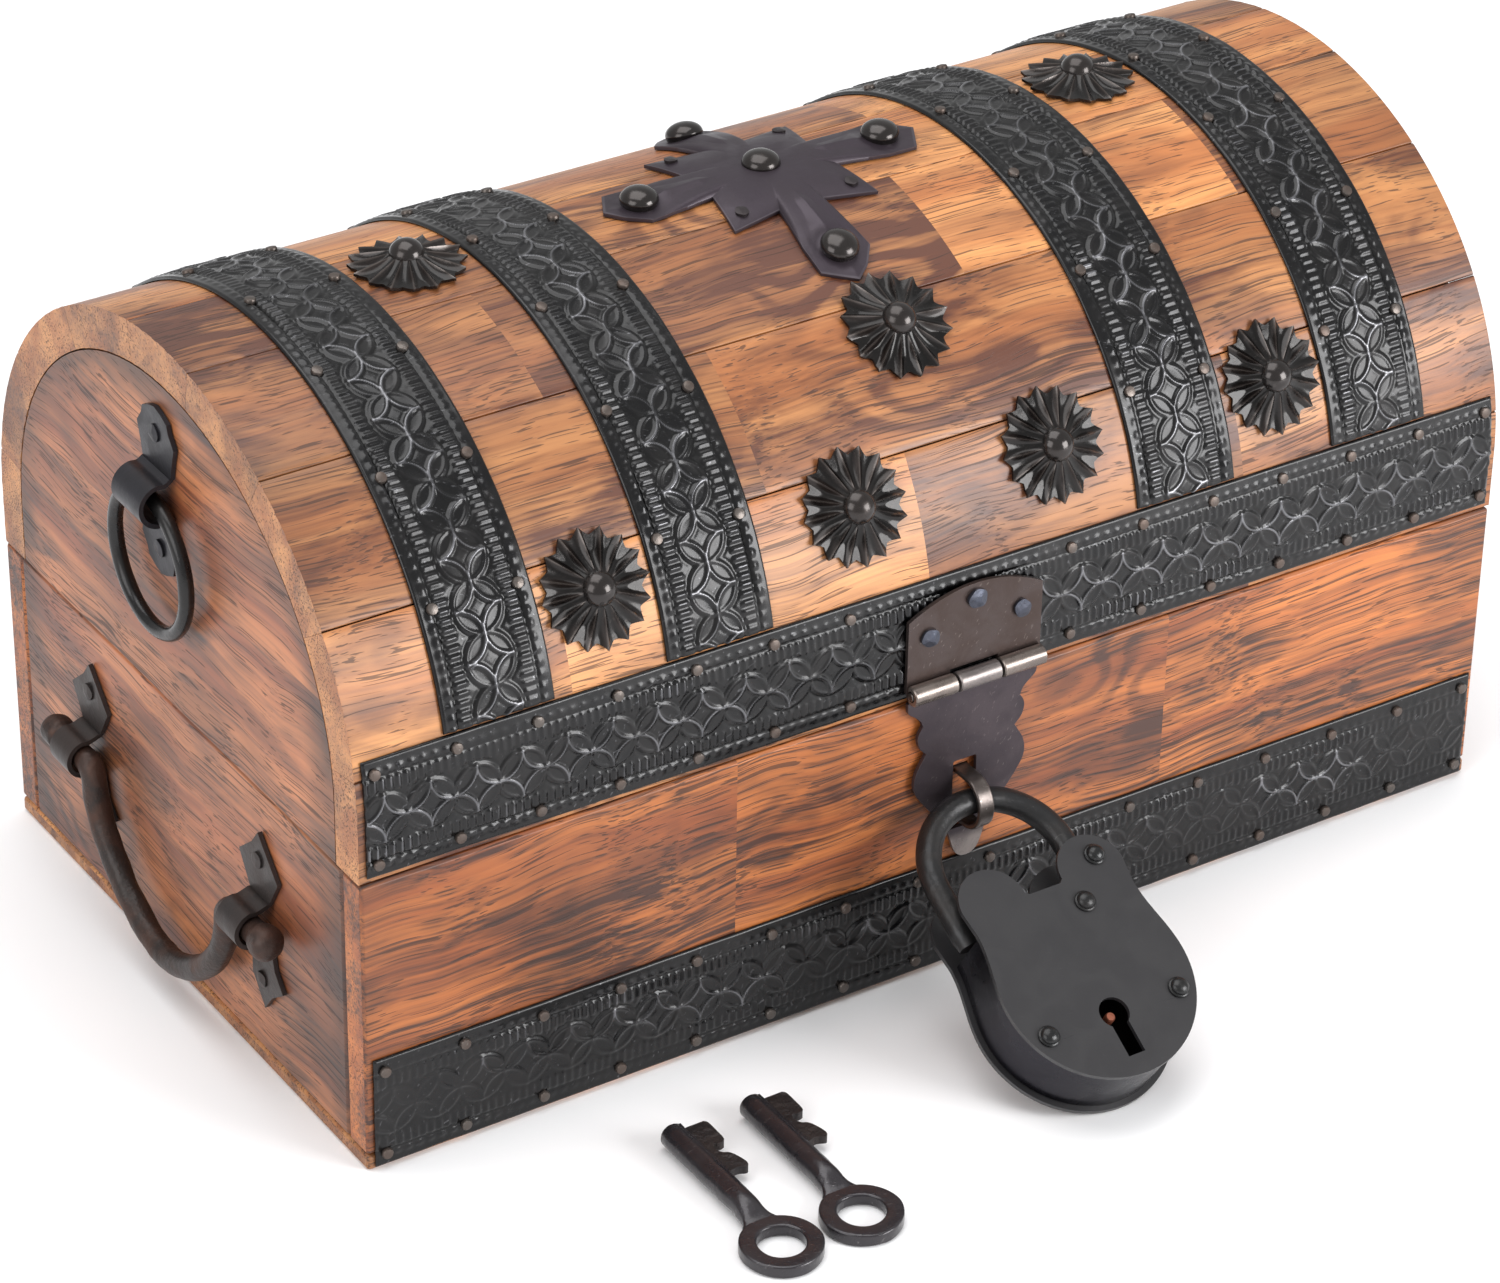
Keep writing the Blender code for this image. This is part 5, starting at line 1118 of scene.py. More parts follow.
@dataclass
class Straps:
    """The four arch straps, the two front straps, and their small nails."""

    width: float = 0.0320
    front_height: float = 0.0332
    front_half: float = 0.178
    lid_low: float = 0.0898
    base_low: float = 0.0013
    front_y: float = -0.0990
    back_end: float = 0.0922
    strap_gap: float = 0.0003
    arch_nail_start: float = 0.0310
    arch_nail_pitch: float = 0.0347
    front_nail_pitch: float = 0.02333
    edge_inset: float = 0.0038
    end_inset: float = 0.0030
    nail_lift: float = 0.0014
    nail_radius: float = 0.00165
    nail_height: float = 0.0009
    hasp_x: float = 0.003
    hasp_reach: float = 0.0236
    arches: tuple[tuple[str, float, int], ...] = (("outer_left", -0.1385, 3), ("inner_left", -0.0735, 7),
                                                  ("inner_right", 0.0735, 13), ("outer_right", 0.1385, 19))

    def build(self) -> None:
        """Make every strap and nail."""
        lid, base = [], []
        low = DOME.arc_at_height(self.lid_low + self.front_height + self.strap_gap)
        high = DOME.arc_at(math.pi) + DOME.spring - self.back_end
        reach = self.width / 2 - self.edge_inset
        for word, x, seed in self.arches:
            strap = Strap(f"arch_band_{word}", f"arch_strap_{word}", "lid", self.width, 0.15, seed, 0.0020)
            strap.make(high - low, lambda u, v, lift, x=x: DOME.place(x + v, low + u, lift))
            for arc in np.arange(low + self.arch_nail_start, high - self.end_inset, self.arch_nail_pitch):
                lid += [DOME.seat(x + side * reach, arc, self.nail_lift) for side in (-1, 1)]
        for body, worn, seed in (("lid", 0.20, 29), ("base", 0.65, 31)):
            self.front_band(body, worn, seed, lid if body == "lid" else base)
        r, h = self.nail_radius, self.nail_height
        head = turned(np.array(((r * 0.9, -0.0008), (r, h * 0.35), (r * 0.86, h * 0.82), (r * 0.42, h))), 10)
        for body, places in (("lid", lid), ("base", base)):
            make_piece(f"{body}_strap_nails", repeated(head, places), body, Finishes.nail_iron)

    def front_band(self, body: str, worn: float, seed: int, heads: list[Array]) -> None:
        """Make one strap along the front and add its nails' places, none of them under the hasp.

        Args:
            body: Body that it moves with, which also names it.
            worn: Share of the relief that is lost.
            seed: Seed of the uneven pressing.
            heads: Places of nails, added to here.
        """
        on_lid = body == "lid"
        low = self.lid_low if on_lid else self.base_low
        middle = self.front_height / 2 + (DOME.arc_at_height(low) if on_lid else low)
        place = DOME.place if on_lid else self.flat_place
        strap = Strap(f"{body}_front_band", f"{body}_front_strap", body, self.front_height, worn, seed)
        strap.make(2 * self.front_half, lambda u, v, lift: place(u - self.front_half, middle + v, lift))
        last = self.front_half - self.end_inset
        for z in (low + self.edge_inset, low + self.front_height - self.edge_inset):
            for x in np.arange(-last, last, self.front_nail_pitch):
                if not on_lid:
                    heads.append(frame_matrix(self.flat_place(x, z, self.nail_lift), -ALONG_Y))
                elif abs(x - self.hasp_x) > self.hasp_reach:
                    heads.append(DOME.seat(x, DOME.arc_at_height(z), self.nail_lift))

    def flat_place(self, x: Array | float, z: Array | float, lift: Array | float) -> Array:
        """Return points on the base's upright front."""
        x, z, lift = np.broadcast_arrays(x, z, lift)
        return np.stack([x, self.front_y - lift, z], axis=-1)


# ---------------------------------------------------------------- ironwork


def smooth_line(points: Array | tuple, steps: int) -> Array:
    """Return a smooth line through control points.

    Between two points the line is the cubic whose slope at each of them is half the step between
    that point's neighbours.

    Args:
        points: Control points, one per row, with any number of values.
        steps: Stretches between two control points.

    Returns:
        The points of the line, one per row.
    """
    p = np.asarray(points, dtype=float)
    p = np.concatenate([2 * p[:1] - p[1:2], p, 2 * p[-1:] - p[-2:-1]])
    t = (np.arange(steps) / steps)[None, :, None]
    a, b, c, d = (p[k:len(p) - 3 + k, None, :] for k in range(4))
    bend, twist = 2 * a - 5 * b + 4 * c - d, 3 * b - a - 3 * c + d
    line = 0.5 * (2 * b + (c - a) * t + bend * t ** 2 + twist * t ** 3)
    return np.concatenate([line.reshape(-1, p.shape[1]), p[-2:-1]])


def rounded(wave: Array, power: Array | float) -> Array:
    """Return a sine or cosine raised to a power with its sign kept, for a superellipse."""
    return np.sign(wave) * np.abs(wave) ** power


def arc_line(x: float, y: float, radius: float, start: float, end: float, steps: int) -> Array:
    """Return points on a circle about (x, y) between two angles."""
    a = np.linspace(start, end, steps + 1)
    return np.column_stack([x + radius * np.cos(a), y + radius * np.sin(a)])


def pressed_sheet(name: str, node: str, faces: tuple[Array, Array], raised: Array, material: Material,
                  sharp: float) -> None:
    """Make a pressed sheet of the lid and store how raised each point of its face is.

    Args:
        name: Name of the piece.
        node: CAD node that it stands for.
        faces: Its face and its underside as polar grids.
        raised: Numbers from 0 to 1 for the face, as (ring, place on the ring).
        material: Its finish.
        sharp: Angle in degrees beyond which an edge is left sharp.
    """
    shell = button(*faces)
    piece = make_piece(name, shell, "lid", material, (node,), sharp)
    # the finish paints shade on low numbers and a highlight, with wear, on high ones; the underside gets 0.5
    numbers = np.full(len(shell.points), 0.5)
    numbers[:1 + raised[1:].size] = np.concatenate([raised[0, :1], raised[1:].ravel()])
    store_numbers(piece, "relief", numbers)


def stud_shell(radius: float, height: float, root: float, sides: int = 40) -> Shell:
    """Return a round dome on +Z.

    The profile is a quarter ellipse of the radius and height over a short skirt and a sunk root.
    """
    a = np.linspace(0.0, np.pi / 2 * 0.985, 16)
    dome = np.column_stack([radius * np.cos(a), height * np.sin(a)])
    foot = np.array(((radius * 0.9, -root), (radius * 0.97, -root * 0.1)))
    return turned(np.concatenate([foot, dome]), sides)


def hammered_head(radius: float, height: float, root: float, seed: int) -> Shell:
    """Return a nail head beaten into facets, on +Z.

    Its top is the lowest of a level plane and six sloping planes round it, over a slightly uneven
    circle.

    Args:
        radius: Mean radius.
        height: Height of the level plane.
        root: How deep the head is sunk.
        seed: Seed of the facets.

    Returns:
        The closed surface.
    """
    source = np.random.default_rng(seed)
    sides, rings = 30, 7
    a = around(sides)
    oval = 0.05 * np.sin(2 * a + source.uniform(0, 6))
    rim = radius * (1.0 + oval + 0.03 * np.sin(5 * a + source.uniform(0, 6)))
    share = np.linspace(0.0, 1.0, rings + 1)[:, None]
    x, y = share * rim * np.cos(a), share * rim * np.sin(a)
    z = np.full(x.shape, height)
    for k in range(6):
        turn = np.pi / 3 * k + source.uniform(-0.3, 0.3)
        out = (x * np.cos(turn) + y * np.sin(turn)) / radius
        z = np.minimum(z, height * (source.uniform(1.05, 1.45) - source.uniform(0.45, 0.75) * out))
    top = np.stack([x, y, z], axis=-1)
    bottom = np.stack([x[[0, -1]] * 0.94, y[[0, -1]] * 0.94, np.full((2, sides), -root)], axis=-1)
    return button(top, bottom)


@dataclass
class Rosettes:
    """Seven pressed sheet flowers on the dome, each with sixteen sharp ridges and a round stud."""

    fit: float = 0.0003
    radius: float = 0.0160
    hub: float = 0.0040
    stud_sink: float = 0.0006
    ridges: int = 16
    samples: int = 20
    rings: int = 28
    valley_share: float = 0.86
    dome_lift: float = 0.0028
    rim_lift: float = 0.0007
    rim_flute: float = 0.0008
    flute: float = 0.0013
    sheet: float = 0.0008
    stud_radius: float = 0.0047
    stud_height: float = 0.0042
    places: tuple[tuple[str, float, float], ...] = (
        ("low_left", -0.1060, 26.5), ("low_middle_left", -0.0282, 26.5), ("low_middle_right", 0.0342, 26.5),
        ("low_right", 0.1060, 26.5), ("middle", 0.0030, 52.5), ("top_left", -0.1060, 92.0),
        ("top_right", 0.1060, 92.0))

    def surface(self, x: float, arc: float, rings: int, lift: float, seed: int) -> tuple[Array, Array]:
        """Return one face of a flower and how raised each point is.

        Along a ridge the sheet falls from the hub to the rim. Between two ridges it sinks as a hollow
        flute with its lowest line half way, and its rim draws in.

        Args:
            x: Middle of the flower along the front.
            arc: Arc length of its middle.
            rings: Rings from the middle to the rim.
            lift: Height of the face above the underside's lowest points.
            seed: Seed of the hand pressing.

        Returns:
            Points as (ring, place on the ring, 3), and numbers from 0 to 1 as (ring, place).
        """
        source = np.random.default_rng(seed)
        share = np.linspace(0.0, 1.0, rings + 1)[:, None]
        turn = (np.arange(self.ridges * self.samples) / self.samples)[None, :]
        gap = 1.0 - np.abs(2 * (turn % 1.0) - 1.0)
        ridge = (1.0 - gap) ** 2.4
        pressed = np.repeat(source.uniform(0.75, 1.2, self.ridges), self.samples)[None, :]
        longer = np.repeat(source.uniform(0.97, 1.0, self.ridges), self.samples)[None, :]
        rim = self.radius * (self.valley_share + (1 - self.valley_share) * (1.0 - gap) ** 1.4) * longer
        reach = share * rim
        out = np.clip((reach - self.hub) / (self.radius - self.hub), 0.0, 1.0)
        line = self.rim_lift + (self.dome_lift - self.rim_lift) * (1.0 - out) ** 0.9
        depth = (self.rim_flute * out + self.flute * np.sin(np.pi * out)) * pressed
        height = np.maximum(line - depth * (1.0 - ridge), 0.0)
        angle = turn * 2 * np.pi / self.ridges
        points = DOME.place(x + reach * np.cos(angle), arc + reach * np.sin(angle), self.fit + lift + height)
        # numbers for the finish: high on the ridges for wear and a painted highlight, low in the flutes for
        # painted shade, 0.3 near the hub
        inner = np.clip(out * 8.0, 0.0, 1.0)
        raised = (0.08 + 0.92 * (1.0 - gap) ** 3.2) * inner + 0.3 * (1.0 - inner)
        return points, raised

    def build(self) -> None:
        """Make the seven flowers and their studs."""
        studs = []
        seat = self.fit + self.dome_lift + self.sheet - self.stud_sink
        for index, (word, x, degrees) in enumerate(self.places):
            arc = DOME.arc_at(math.radians(degrees))
            top, raised = self.surface(x, arc, self.rings, self.sheet, 50 + index)
            bottom, _ = self.surface(x, arc, 6, 0.0, 50 + index)
            pressed_sheet(f"rosette_flower_{word}", f"rosette_{word}", (top, bottom), raised,
                          Finishes.sheet_black, 30.0)
            studs.append(DOME.seat(x, arc, seat))
        stud = stud_shell(self.stud_radius, self.stud_height, self.sheet)
        make_piece("rosette_studs", repeated(stud, studs), "lid", Finishes.stud_black)


@dataclass
class TopCross:
    """The pressed cross on the crown, with five large studs and four small nails."""

    fit: float = 0.0003
    span: float = 0.0980
    plate: float = 0.0450
    notch: float = 0.0195
    neck: float = 0.0068
    arm: float = 0.0180
    shoulder: float = 0.0395
    tip_cut: float = 0.0035
    sheet: float = 0.0010
    relief: float = 0.0024
    stud_radius: float = 0.0053
    stud_height: float = 0.0035
    stud_reach: float = 0.0380
    nail_reach: float = 0.0172
    nail_radius: float = 0.0019
    wander: float = 0.00012
    step: float = 0.00062
    rings: int = 78
    under_rings: int = 26

    def outline(self) -> Array:
        """Return points round the edge, one quarter turned four times."""
        point, wide, tip = self.plate / 2, self.arm / 2, self.span / 2
        quarter = np.array(((self.notch, -self.neck), (self.shoulder - wide / 2, -wide),
                            (self.shoulder + wide / 2, -wide), (tip, 0.0), (tip - self.tip_cut, wide / 2),
                            (self.shoulder, wide), (self.notch, self.neck), (point, point)))
        turn = np.array(((0.0, 1.0), (-1.0, 0.0)))
        corners = np.concatenate([quarter @ np.linalg.matrix_power(turn, k) for k in range(4)])
        line = []
        for start, end in zip(corners, np.roll(corners, -1, axis=0)):
            count = max(2, round(float(np.linalg.norm(end - start)) / self.step))
            line.append(start + (end - start) * (np.arange(count) / count)[:, None])
        return np.concatenate(line)

    def height(self, x: Array | float, y: Array | float, share: Array | float) -> Array:
        """Return how far the pressed sheet stands off the wood.

        The plate is a pillow that falls towards its four points. Each arm is a rounded roof with a
        crease along its middle, lower towards its tip and dished round its stud. All of it turns
        down towards the edge.

        Args:
            x: Place along the front from the middle.
            y: Place along the dome from the middle.
            share: How near the edge a point is, 0 to 1.

        Returns:
            The height in metres.
        """
        across = np.minimum(np.abs(x), np.abs(y))
        reach = np.maximum(np.abs(x), np.abs(y))
        slant = (np.abs(x) + np.abs(y)) / self.plate
        pillow = np.clip(1.0 - slant ** 2.4, 0.0, 1.0) * 0.92
        half = np.interp(reach, (0.0, self.notch, self.shoulder, self.span / 2),
                         (self.neck, self.neck, self.arm / 2, 0.002))
        side = np.clip(across / half, 0.0, 1.0)
        roof = 0.55 * (1.0 - side ** 2) + 0.45 * (1.0 - side) ** 1.3
        along = np.interp(reach, (0.0, self.notch, 0.030, 0.038, self.span / 2), (0.0, 1.0, 0.80, 0.55, 0.35))
        level = np.maximum(pillow, roof * along)
        from_stud = np.hypot(reach - self.stud_reach, across)
        dish = 0.22 * np.exp(-((from_stud - self.stud_radius) / 0.0018) ** 2)
        edge = 1.0 - 0.85 * share ** 7
        return self.relief * np.clip(level * edge - dish * (reach > self.notch), 0.0, 1.0)

    def surface(self, rings: int, lift: float) -> tuple[Array, Array]:
        """Return one face of the sheet as a polar grid, and how raised each point is."""
        line = self.outline()[None, :, :]
        share = np.linspace(0.0, 1.0, rings + 1)[:, None]
        x, y = share * line[..., 0], share * line[..., 1]
        height = self.height(x, y, share)
        wander = smooth_noise(np.stack([x, y, np.zeros_like(x)], axis=-1), 0.016, 77)
        skin = np.maximum(height + self.wander * wander * (1.0 - share ** 4), 0.0)
        points = DOME.place(x, DOME.arc_at(math.pi / 2) + y, self.fit + lift + skin)
        # numbers for the finish: about 0.5 inside, higher at the edge for wear and a painted highlight
        return points, np.clip(0.44 + 0.10 * height / self.relief + 0.30 * (share > 0.985), 0.0, 1.0)

    def seats(self, spots: tuple[Pair, ...]) -> list[Array]:
        """Return the frames of heads on the sheet."""
        crown = DOME.arc_at(math.pi / 2)
        lift = self.fit + self.sheet
        return [DOME.seat(x, crown + y, lift + float(self.height(x, y, 0.5))) for x, y in spots]

    def build(self) -> None:
        """Make the sheet, its studs and its nails."""
        top, raised = self.surface(self.rings, self.sheet)
        bottom, _ = self.surface(self.under_rings, 0.0)
        pressed_sheet("top_cross_sheet", "top_cross", (top, bottom), raised, Finishes.cross_sheet, 40.0)
        r, n = self.stud_reach, self.nail_reach
        stud = stud_shell(self.stud_radius, self.stud_height, self.relief)
        studs = self.seats(((0.0, 0.0), (r, 0.0), (-r, 0.0), (0.0, r), (0.0, -r)))
        make_piece("top_cross_studs", repeated(stud, studs), "lid", Finishes.stud_black)
        nail = hammered_head(self.nail_radius, 0.0007, 0.0006, 5)
        nails = self.seats(((n, n), (-n, n), (-n, -n), (n, -n)))
        make_piece("top_cross_nails", repeated(nail, nails), "lid", Finishes.sheet_nail)


@dataclass
class Hasp:
    """The hasp: a lid plate with three nails, a scalloped flap, and the pin through their knuckles."""

    x: float = 0.0030
    back_y: float = -0.1001
    pivot_z: float = 0.0925
    width: float = 0.0425
    side_height: float = 0.0215
    crown: float = 0.0060
    thickness: float = 0.0012
    knuckle: float = 0.0028
    pin: float = 0.0012
    gap: float = 0.0005
    fit: float = 0.0003
    flap_length: float = 0.0575
    slot_x: float = -0.0016
    slot_width: float = 0.0074
    slot_top: float = 0.0262
    slot_length: float = 0.0215
    soft: float = 0.0003
    slot_soft: float = 0.0004
    bevel: Bevel = (0.00018, 2, 50.0)
    nails: tuple[Triple, ...] = (
        (-0.0146, 0.0155, 0.0027), (0.0, 0.0230, 0.0029), (0.0146, 0.0155, 0.0026))
    edge_shares: tuple[tuple[Pair, ...], ...] = (
        ((0.00, 0.97), (0.055, 0.96), (0.09, 0.86), (0.125, 0.77), (0.16, 0.735)),
        ((0.16, 0.735), (0.195, 0.79), (0.235, 0.805), (0.285, 0.765), (0.325, 0.67)),
        ((0.325, 0.67), (0.37, 0.74), (0.42, 0.81), (0.48, 0.84), (0.54, 0.81), (0.62, 0.68), (0.70, 0.52),
         (0.78, 0.37), (0.86, 0.27), (0.93, 0.21), (0.975, 0.15), (1.0, 0.06)))

    def place(self) -> Array:
        """Return the matrix from (across, up, out) to the world."""
        matrix = moved(self.x, self.back_y, self.pivot_z)
        matrix[:3, :3] = np.column_stack([ALONG_X, UP, -ALONG_Y])
        return matrix

    def round_pin(self, profile: tuple[Pair, ...], sides: int, hollow: bool) -> Shell:
        """Turn a profile of (radius, place across) about the pin's axis."""
        q, h = np.array(profile).T[:, :, None]
        a = around(sides)
        rings = np.stack(np.broadcast_arrays(h, q * np.cos(a), self.knuckle + q * np.sin(a)), axis=-1)
        return tube(rings, hollow)

    def barrel(self, start: float, end: float) -> Shell:
        """Return one rolled knuckle: a tube with a bore, its rims slightly rounded."""
        r, bore, soft = self.knuckle, self.pin + self.fit, self.soft
        return self.round_pin(((bore, start), (r - soft, start), (r, start + soft), (r, end - soft),
                               (r - soft, end), (bore, end)), 40, True)

    def plate(self) -> Shell:
        """Return the lid plate: square foot with a window for the flap's knuckle, and an arched top."""
        half, inner = self.width / 2, self.width / 6 + self.gap / 2
        window, relief = inner + self.fit, self.knuckle + self.gap
        x = np.linspace(half, -half, 25)
        top = np.column_stack([x, self.side_height + self.crown * (1.0 - (x / half) ** 2)])
        foot = np.array(((-half, 0.0), (-window, 0.0), (-window, relief), (window, relief), (window, 0.0),
                         (half, 0.0)))
        return join([slab([np.concatenate([foot, top])], self.thickness),
                     self.barrel(-half + self.fit, -inner), self.barrel(inner, half - self.fit)])

    def flap(self) -> Shell:
        """Return the flap: a neck at its knuckle, two scallops down each side, and a slot."""
        relief = self.knuckle + self.gap
        neck = self.width / 6 - self.gap / 2
        side = np.concatenate([smooth_line(part, 6)[:-1] for part in self.edge_shares])
        right = np.column_stack([self.width / 2 * side[:, 1],
                                 -relief - (self.flap_length - relief) * side[:, 0]])
        top = np.array(((-neck, -relief), (-neck, 0.0), (neck, 0.0), (neck, -relief)))
        outline = np.concatenate([top, right, ((0.0, -self.flap_length),), right[::-1] * (-1.0, 1.0)])
        low, reach, soft = -self.slot_length, self.slot_width / 2, self.slot_soft
        half_slot = np.array(((reach - soft, low), (reach, low + soft), (reach, -soft), (reach - soft, 0.0)))
        slot = np.concatenate([half_slot, half_slot[::-1] * (-1.0, 1.0)]) + (self.slot_x, -self.slot_top)
        return join([slab([outline, slot], self.thickness), self.barrel(-neck + self.fit, neck - self.fit)])

    def wear_and_sheen(self, piece: Piece, tip: float) -> None:
        """Store a number per point for the finish: high on the knuckles for wear and a painted highlight, and
        on the flap's tip for wear by a share.
        """
        points = mesh_points(piece)
        up = points[:, 2] - self.pivot_z
        in_front = self.back_y - points[:, 1] > self.thickness + 0.0004
        knuckle = (np.abs(up) < self.knuckle + 0.0001) & in_front
        worn_tip = tip * np.clip((-up - 0.048) / 0.005, 0.0, 1.0)
        # knuckles: wear and a painted highlight; flap tip: wear
        store_numbers(piece, "relief", np.clip(0.5 + 0.32 * knuckle + 0.45 * worn_tip, 0.0, 1.0))

    def build(self) -> None:
        """Make the plate, the flap, the pin and the nails."""
        place = self.place()
        for name, node, shell, body, finish, tip in (
                ("hasp_lid_plate", "hasp_plate", self.plate(), "lid", Finishes.hasp_steel, 0.0),
                ("hasp_scalloped_flap", "hasp_flap", self.flap(), "flap", Finishes.flap_steel, 1.0)):
            shell = placed(shell, place)
            self.wear_and_sheen(make_piece(name, shell, body, finish, (node,), 30.0, self.bevel), tip)
        r, end, soft = self.pin, self.width / 2, 0.0002
        pin = self.round_pin(((r * 0.8, -end), (r, soft - end), (r, end - soft), (r * 0.8, end)), 24, False)
        make_piece("hasp_knuckle_pin", placed(pin, place), "lid", Finishes.worn_steel,
                   ("hasp_pin",))
        heads = [placed(hammered_head(radius, 0.0013, 0.0006, 90 + index),
                        place @ moved(x, up, self.thickness))
                 for index, (x, up, radius) in enumerate(self.nails)]
        make_piece("hasp_nails", join(heads), "lid", Finishes.hasp_nail, (), 12.0)


@dataclass
class Staple:
    """A flat strip bent into an eye, its two legs driven through the front board."""

    x: float = 0.0014
    width: float = 0.0046
    thickness: float = 0.0015
    height: float = 0.0552
    inner: float = 0.0064
    front_y: float = -0.0990
    reach: float = 0.0135
    leg_end: float = -0.0854

    def build(self) -> None:
        """Carry a rectangle with rounded, slightly raised edges along the bent path."""
        middle = self.inner + self.thickness / 2
        nose = self.front_y - self.reach + middle + self.thickness / 2
        arc = arc_line(nose, self.height, middle, np.pi / 2, 3 * np.pi / 2, 40)
        legs = np.linspace(self.leg_end, nose, 8)[:-1]
        path = np.concatenate([np.column_stack([legs, np.full(7, self.height + middle)]), arc,
                               np.column_stack([legs[::-1], np.full(7, self.height - middle)])])
        along = np.gradient(path, axis=0)
        along /= np.linalg.norm(along, axis=1, keepdims=True)
        across = np.array((-1.0, -0.93, -0.8, -0.6, 0.6, 0.8, 0.93, 1.0))
        face = np.array((0.72, 0.95, 1.0, 0.9, 0.9, 1.0, 0.95, 0.72))
        lift = np.concatenate([face, -face[::-1]]) * self.thickness / 2
        x = self.x + np.concatenate([across, across[::-1]]) * self.width / 2
        y, z = path[:, 0:1] - along[:, 1:2] * lift, path[:, 1:2] + along[:, 0:1] * lift
        eye = tube(np.stack(np.broadcast_arrays(x, y, z), axis=-1))
        make_piece("staple_eye", eye, "base", Finishes.worn_steel, ("staple",), 50.0)


@dataclass
class Padlock:
    """The padlock: two plates, the band between them, rivets, key post and the bow shackle."""

    origin: Triple = (0.0006, -0.140433, 0.047479)
    down: Triple = (0.0, -0.85171, -0.52404)
    radius: float = 0.0280
    centre_drop: float = 0.0281
    lobe_radius: float = 0.0098
    lobe_x: float = 0.0158
    lobe_rise: float = 0.0010
    waist: float = 0.0248
    waist_drop: float = 0.0060
    notch_width: float = 0.0098
    depth: float = 0.0205
    plate: float = 0.0014
    rim: float = 0.0008
    fit: float = 0.0003
    rivet_radius: float = 0.0030
    rivet_height: float = 0.0022
    rivet_pin: float = 0.0016
    rivets: tuple[Pair, ...] = ((0.0087, 0.0071), (-0.0208, 0.0380), (0.0208, 0.0380))
    pivot: Pair = (0.0183, -0.0042)
    keyhole_radius: float = 0.0043
    keyhole_drop: float = 0.0380
    keyhole_slot: float = 0.0052
    keyhole_length: float = 0.0125
    post_radius: float = 0.0014
    bow_x: float = -0.0022
    bow_radius: float = 0.0205
    bow_rise: float = 0.0128
    rod: float = 0.0035
    eye_radius: float = 0.0050
    bevel: Bevel = (0.00060, 3, 45.0)
    wall_bevel: Bevel = (0.0002, 2, 50.0)

    def place(self, x: float = 0.0, drop: float = 0.0, depth: float = 0.0, outward: bool = False) -> Array:
        """Return the matrix of a frame on the lock whose third axis runs inward, or outward."""
        down = np.array(self.down)
        inward = np.cross(ALONG_X, down)
        matrix = moved(*(np.array(self.origin) + ALONG_X * x + down * drop + inward * depth))
        turn = -1.0 if outward else 1.0
        matrix[:3, :3] = np.column_stack([ALONG_X, down * turn, inward * turn])
        return matrix

    def side(self, grow: float) -> Array:
        """Return the right edge from the waist down to the bottom.

        It widens from the waist to the full radius by a squared sine, then follows a quarter circle.
        """
        share = np.linspace(0.0, 1.0, 14)[:-1]
        x = self.waist + (self.radius - self.waist) * np.sin(np.pi / 2 * share) ** 2 + grow
        flank = np.column_stack([x, self.waist_drop + (self.centre_drop - self.waist_drop) * share])
        round_part = arc_line(0.0, self.centre_drop, self.radius + grow, 0.0, np.pi / 2, 36)[:-1]
        return np.concatenate([flank, round_part])

    def mirrored(self, right: Array, grow: float) -> Array:
        """Return a right edge, the lowest point and the same edge mirrored."""
        bottom = ((0.0, self.centre_drop + self.radius + grow),)
        return np.concatenate([right, bottom, right[::-1] * (-1.0, 1.0)])

    def outline(self, grow: float) -> Array:
        """Return the whole outline with its two lobes and the notch between them."""
        lobe = arc_line(self.lobe_x, -self.lobe_rise, self.lobe_radius + grow, -np.pi, 0.0, 28)
        notch = ((self.notch_width / 2 - grow, grow),)
        return self.mirrored(np.concatenate([notch, lobe, self.side(grow)]), grow)

    def keyhole(self) -> Array:
        """Return the keyhole: a round hole with a slot below it."""
        half = self.keyhole_slot / 2
        start = math.asin(half / self.keyhole_radius)
        a = np.linspace(start, 2 * np.pi - start, 33)
        ring = self.keyhole_radius * np.column_stack([np.sin(a), np.cos(a)]) + (0.0, self.keyhole_drop)
        low = self.keyhole_drop + self.keyhole_length
        return np.concatenate([ring, ((-half, low), (half, low))])

    def hole(self, spot: Pair) -> Array:
        """Return a rivet's hole."""
        return arc_line(spot[0], spot[1], self.rivet_pin + self.fit, 0.0, 2 * np.pi, 20)[:-1]

    def rivet(self, spot: Pair, root: float) -> Shell:
        """Return a rivet: a shank, a thin collar and a round head that stands on it."""
        r, h, seat = self.rivet_radius, self.rivet_height, self.fit
        a = np.linspace(0.0, np.pi / 2 * 0.97, 10)
        head = np.column_stack([r * 0.86 * np.cos(a), seat + h * 0.22 + h * 0.78 * np.sin(a)])
        foot = np.array(((self.rivet_pin, -root), (self.rivet_pin, seat), (r, seat), (r, seat + h * 0.10),
                         (r * 0.92, seat + h * 0.20)))
        return placed(turned(np.concatenate([foot, head]), 32), self.place(spot[0], spot[1], 0.0, True))

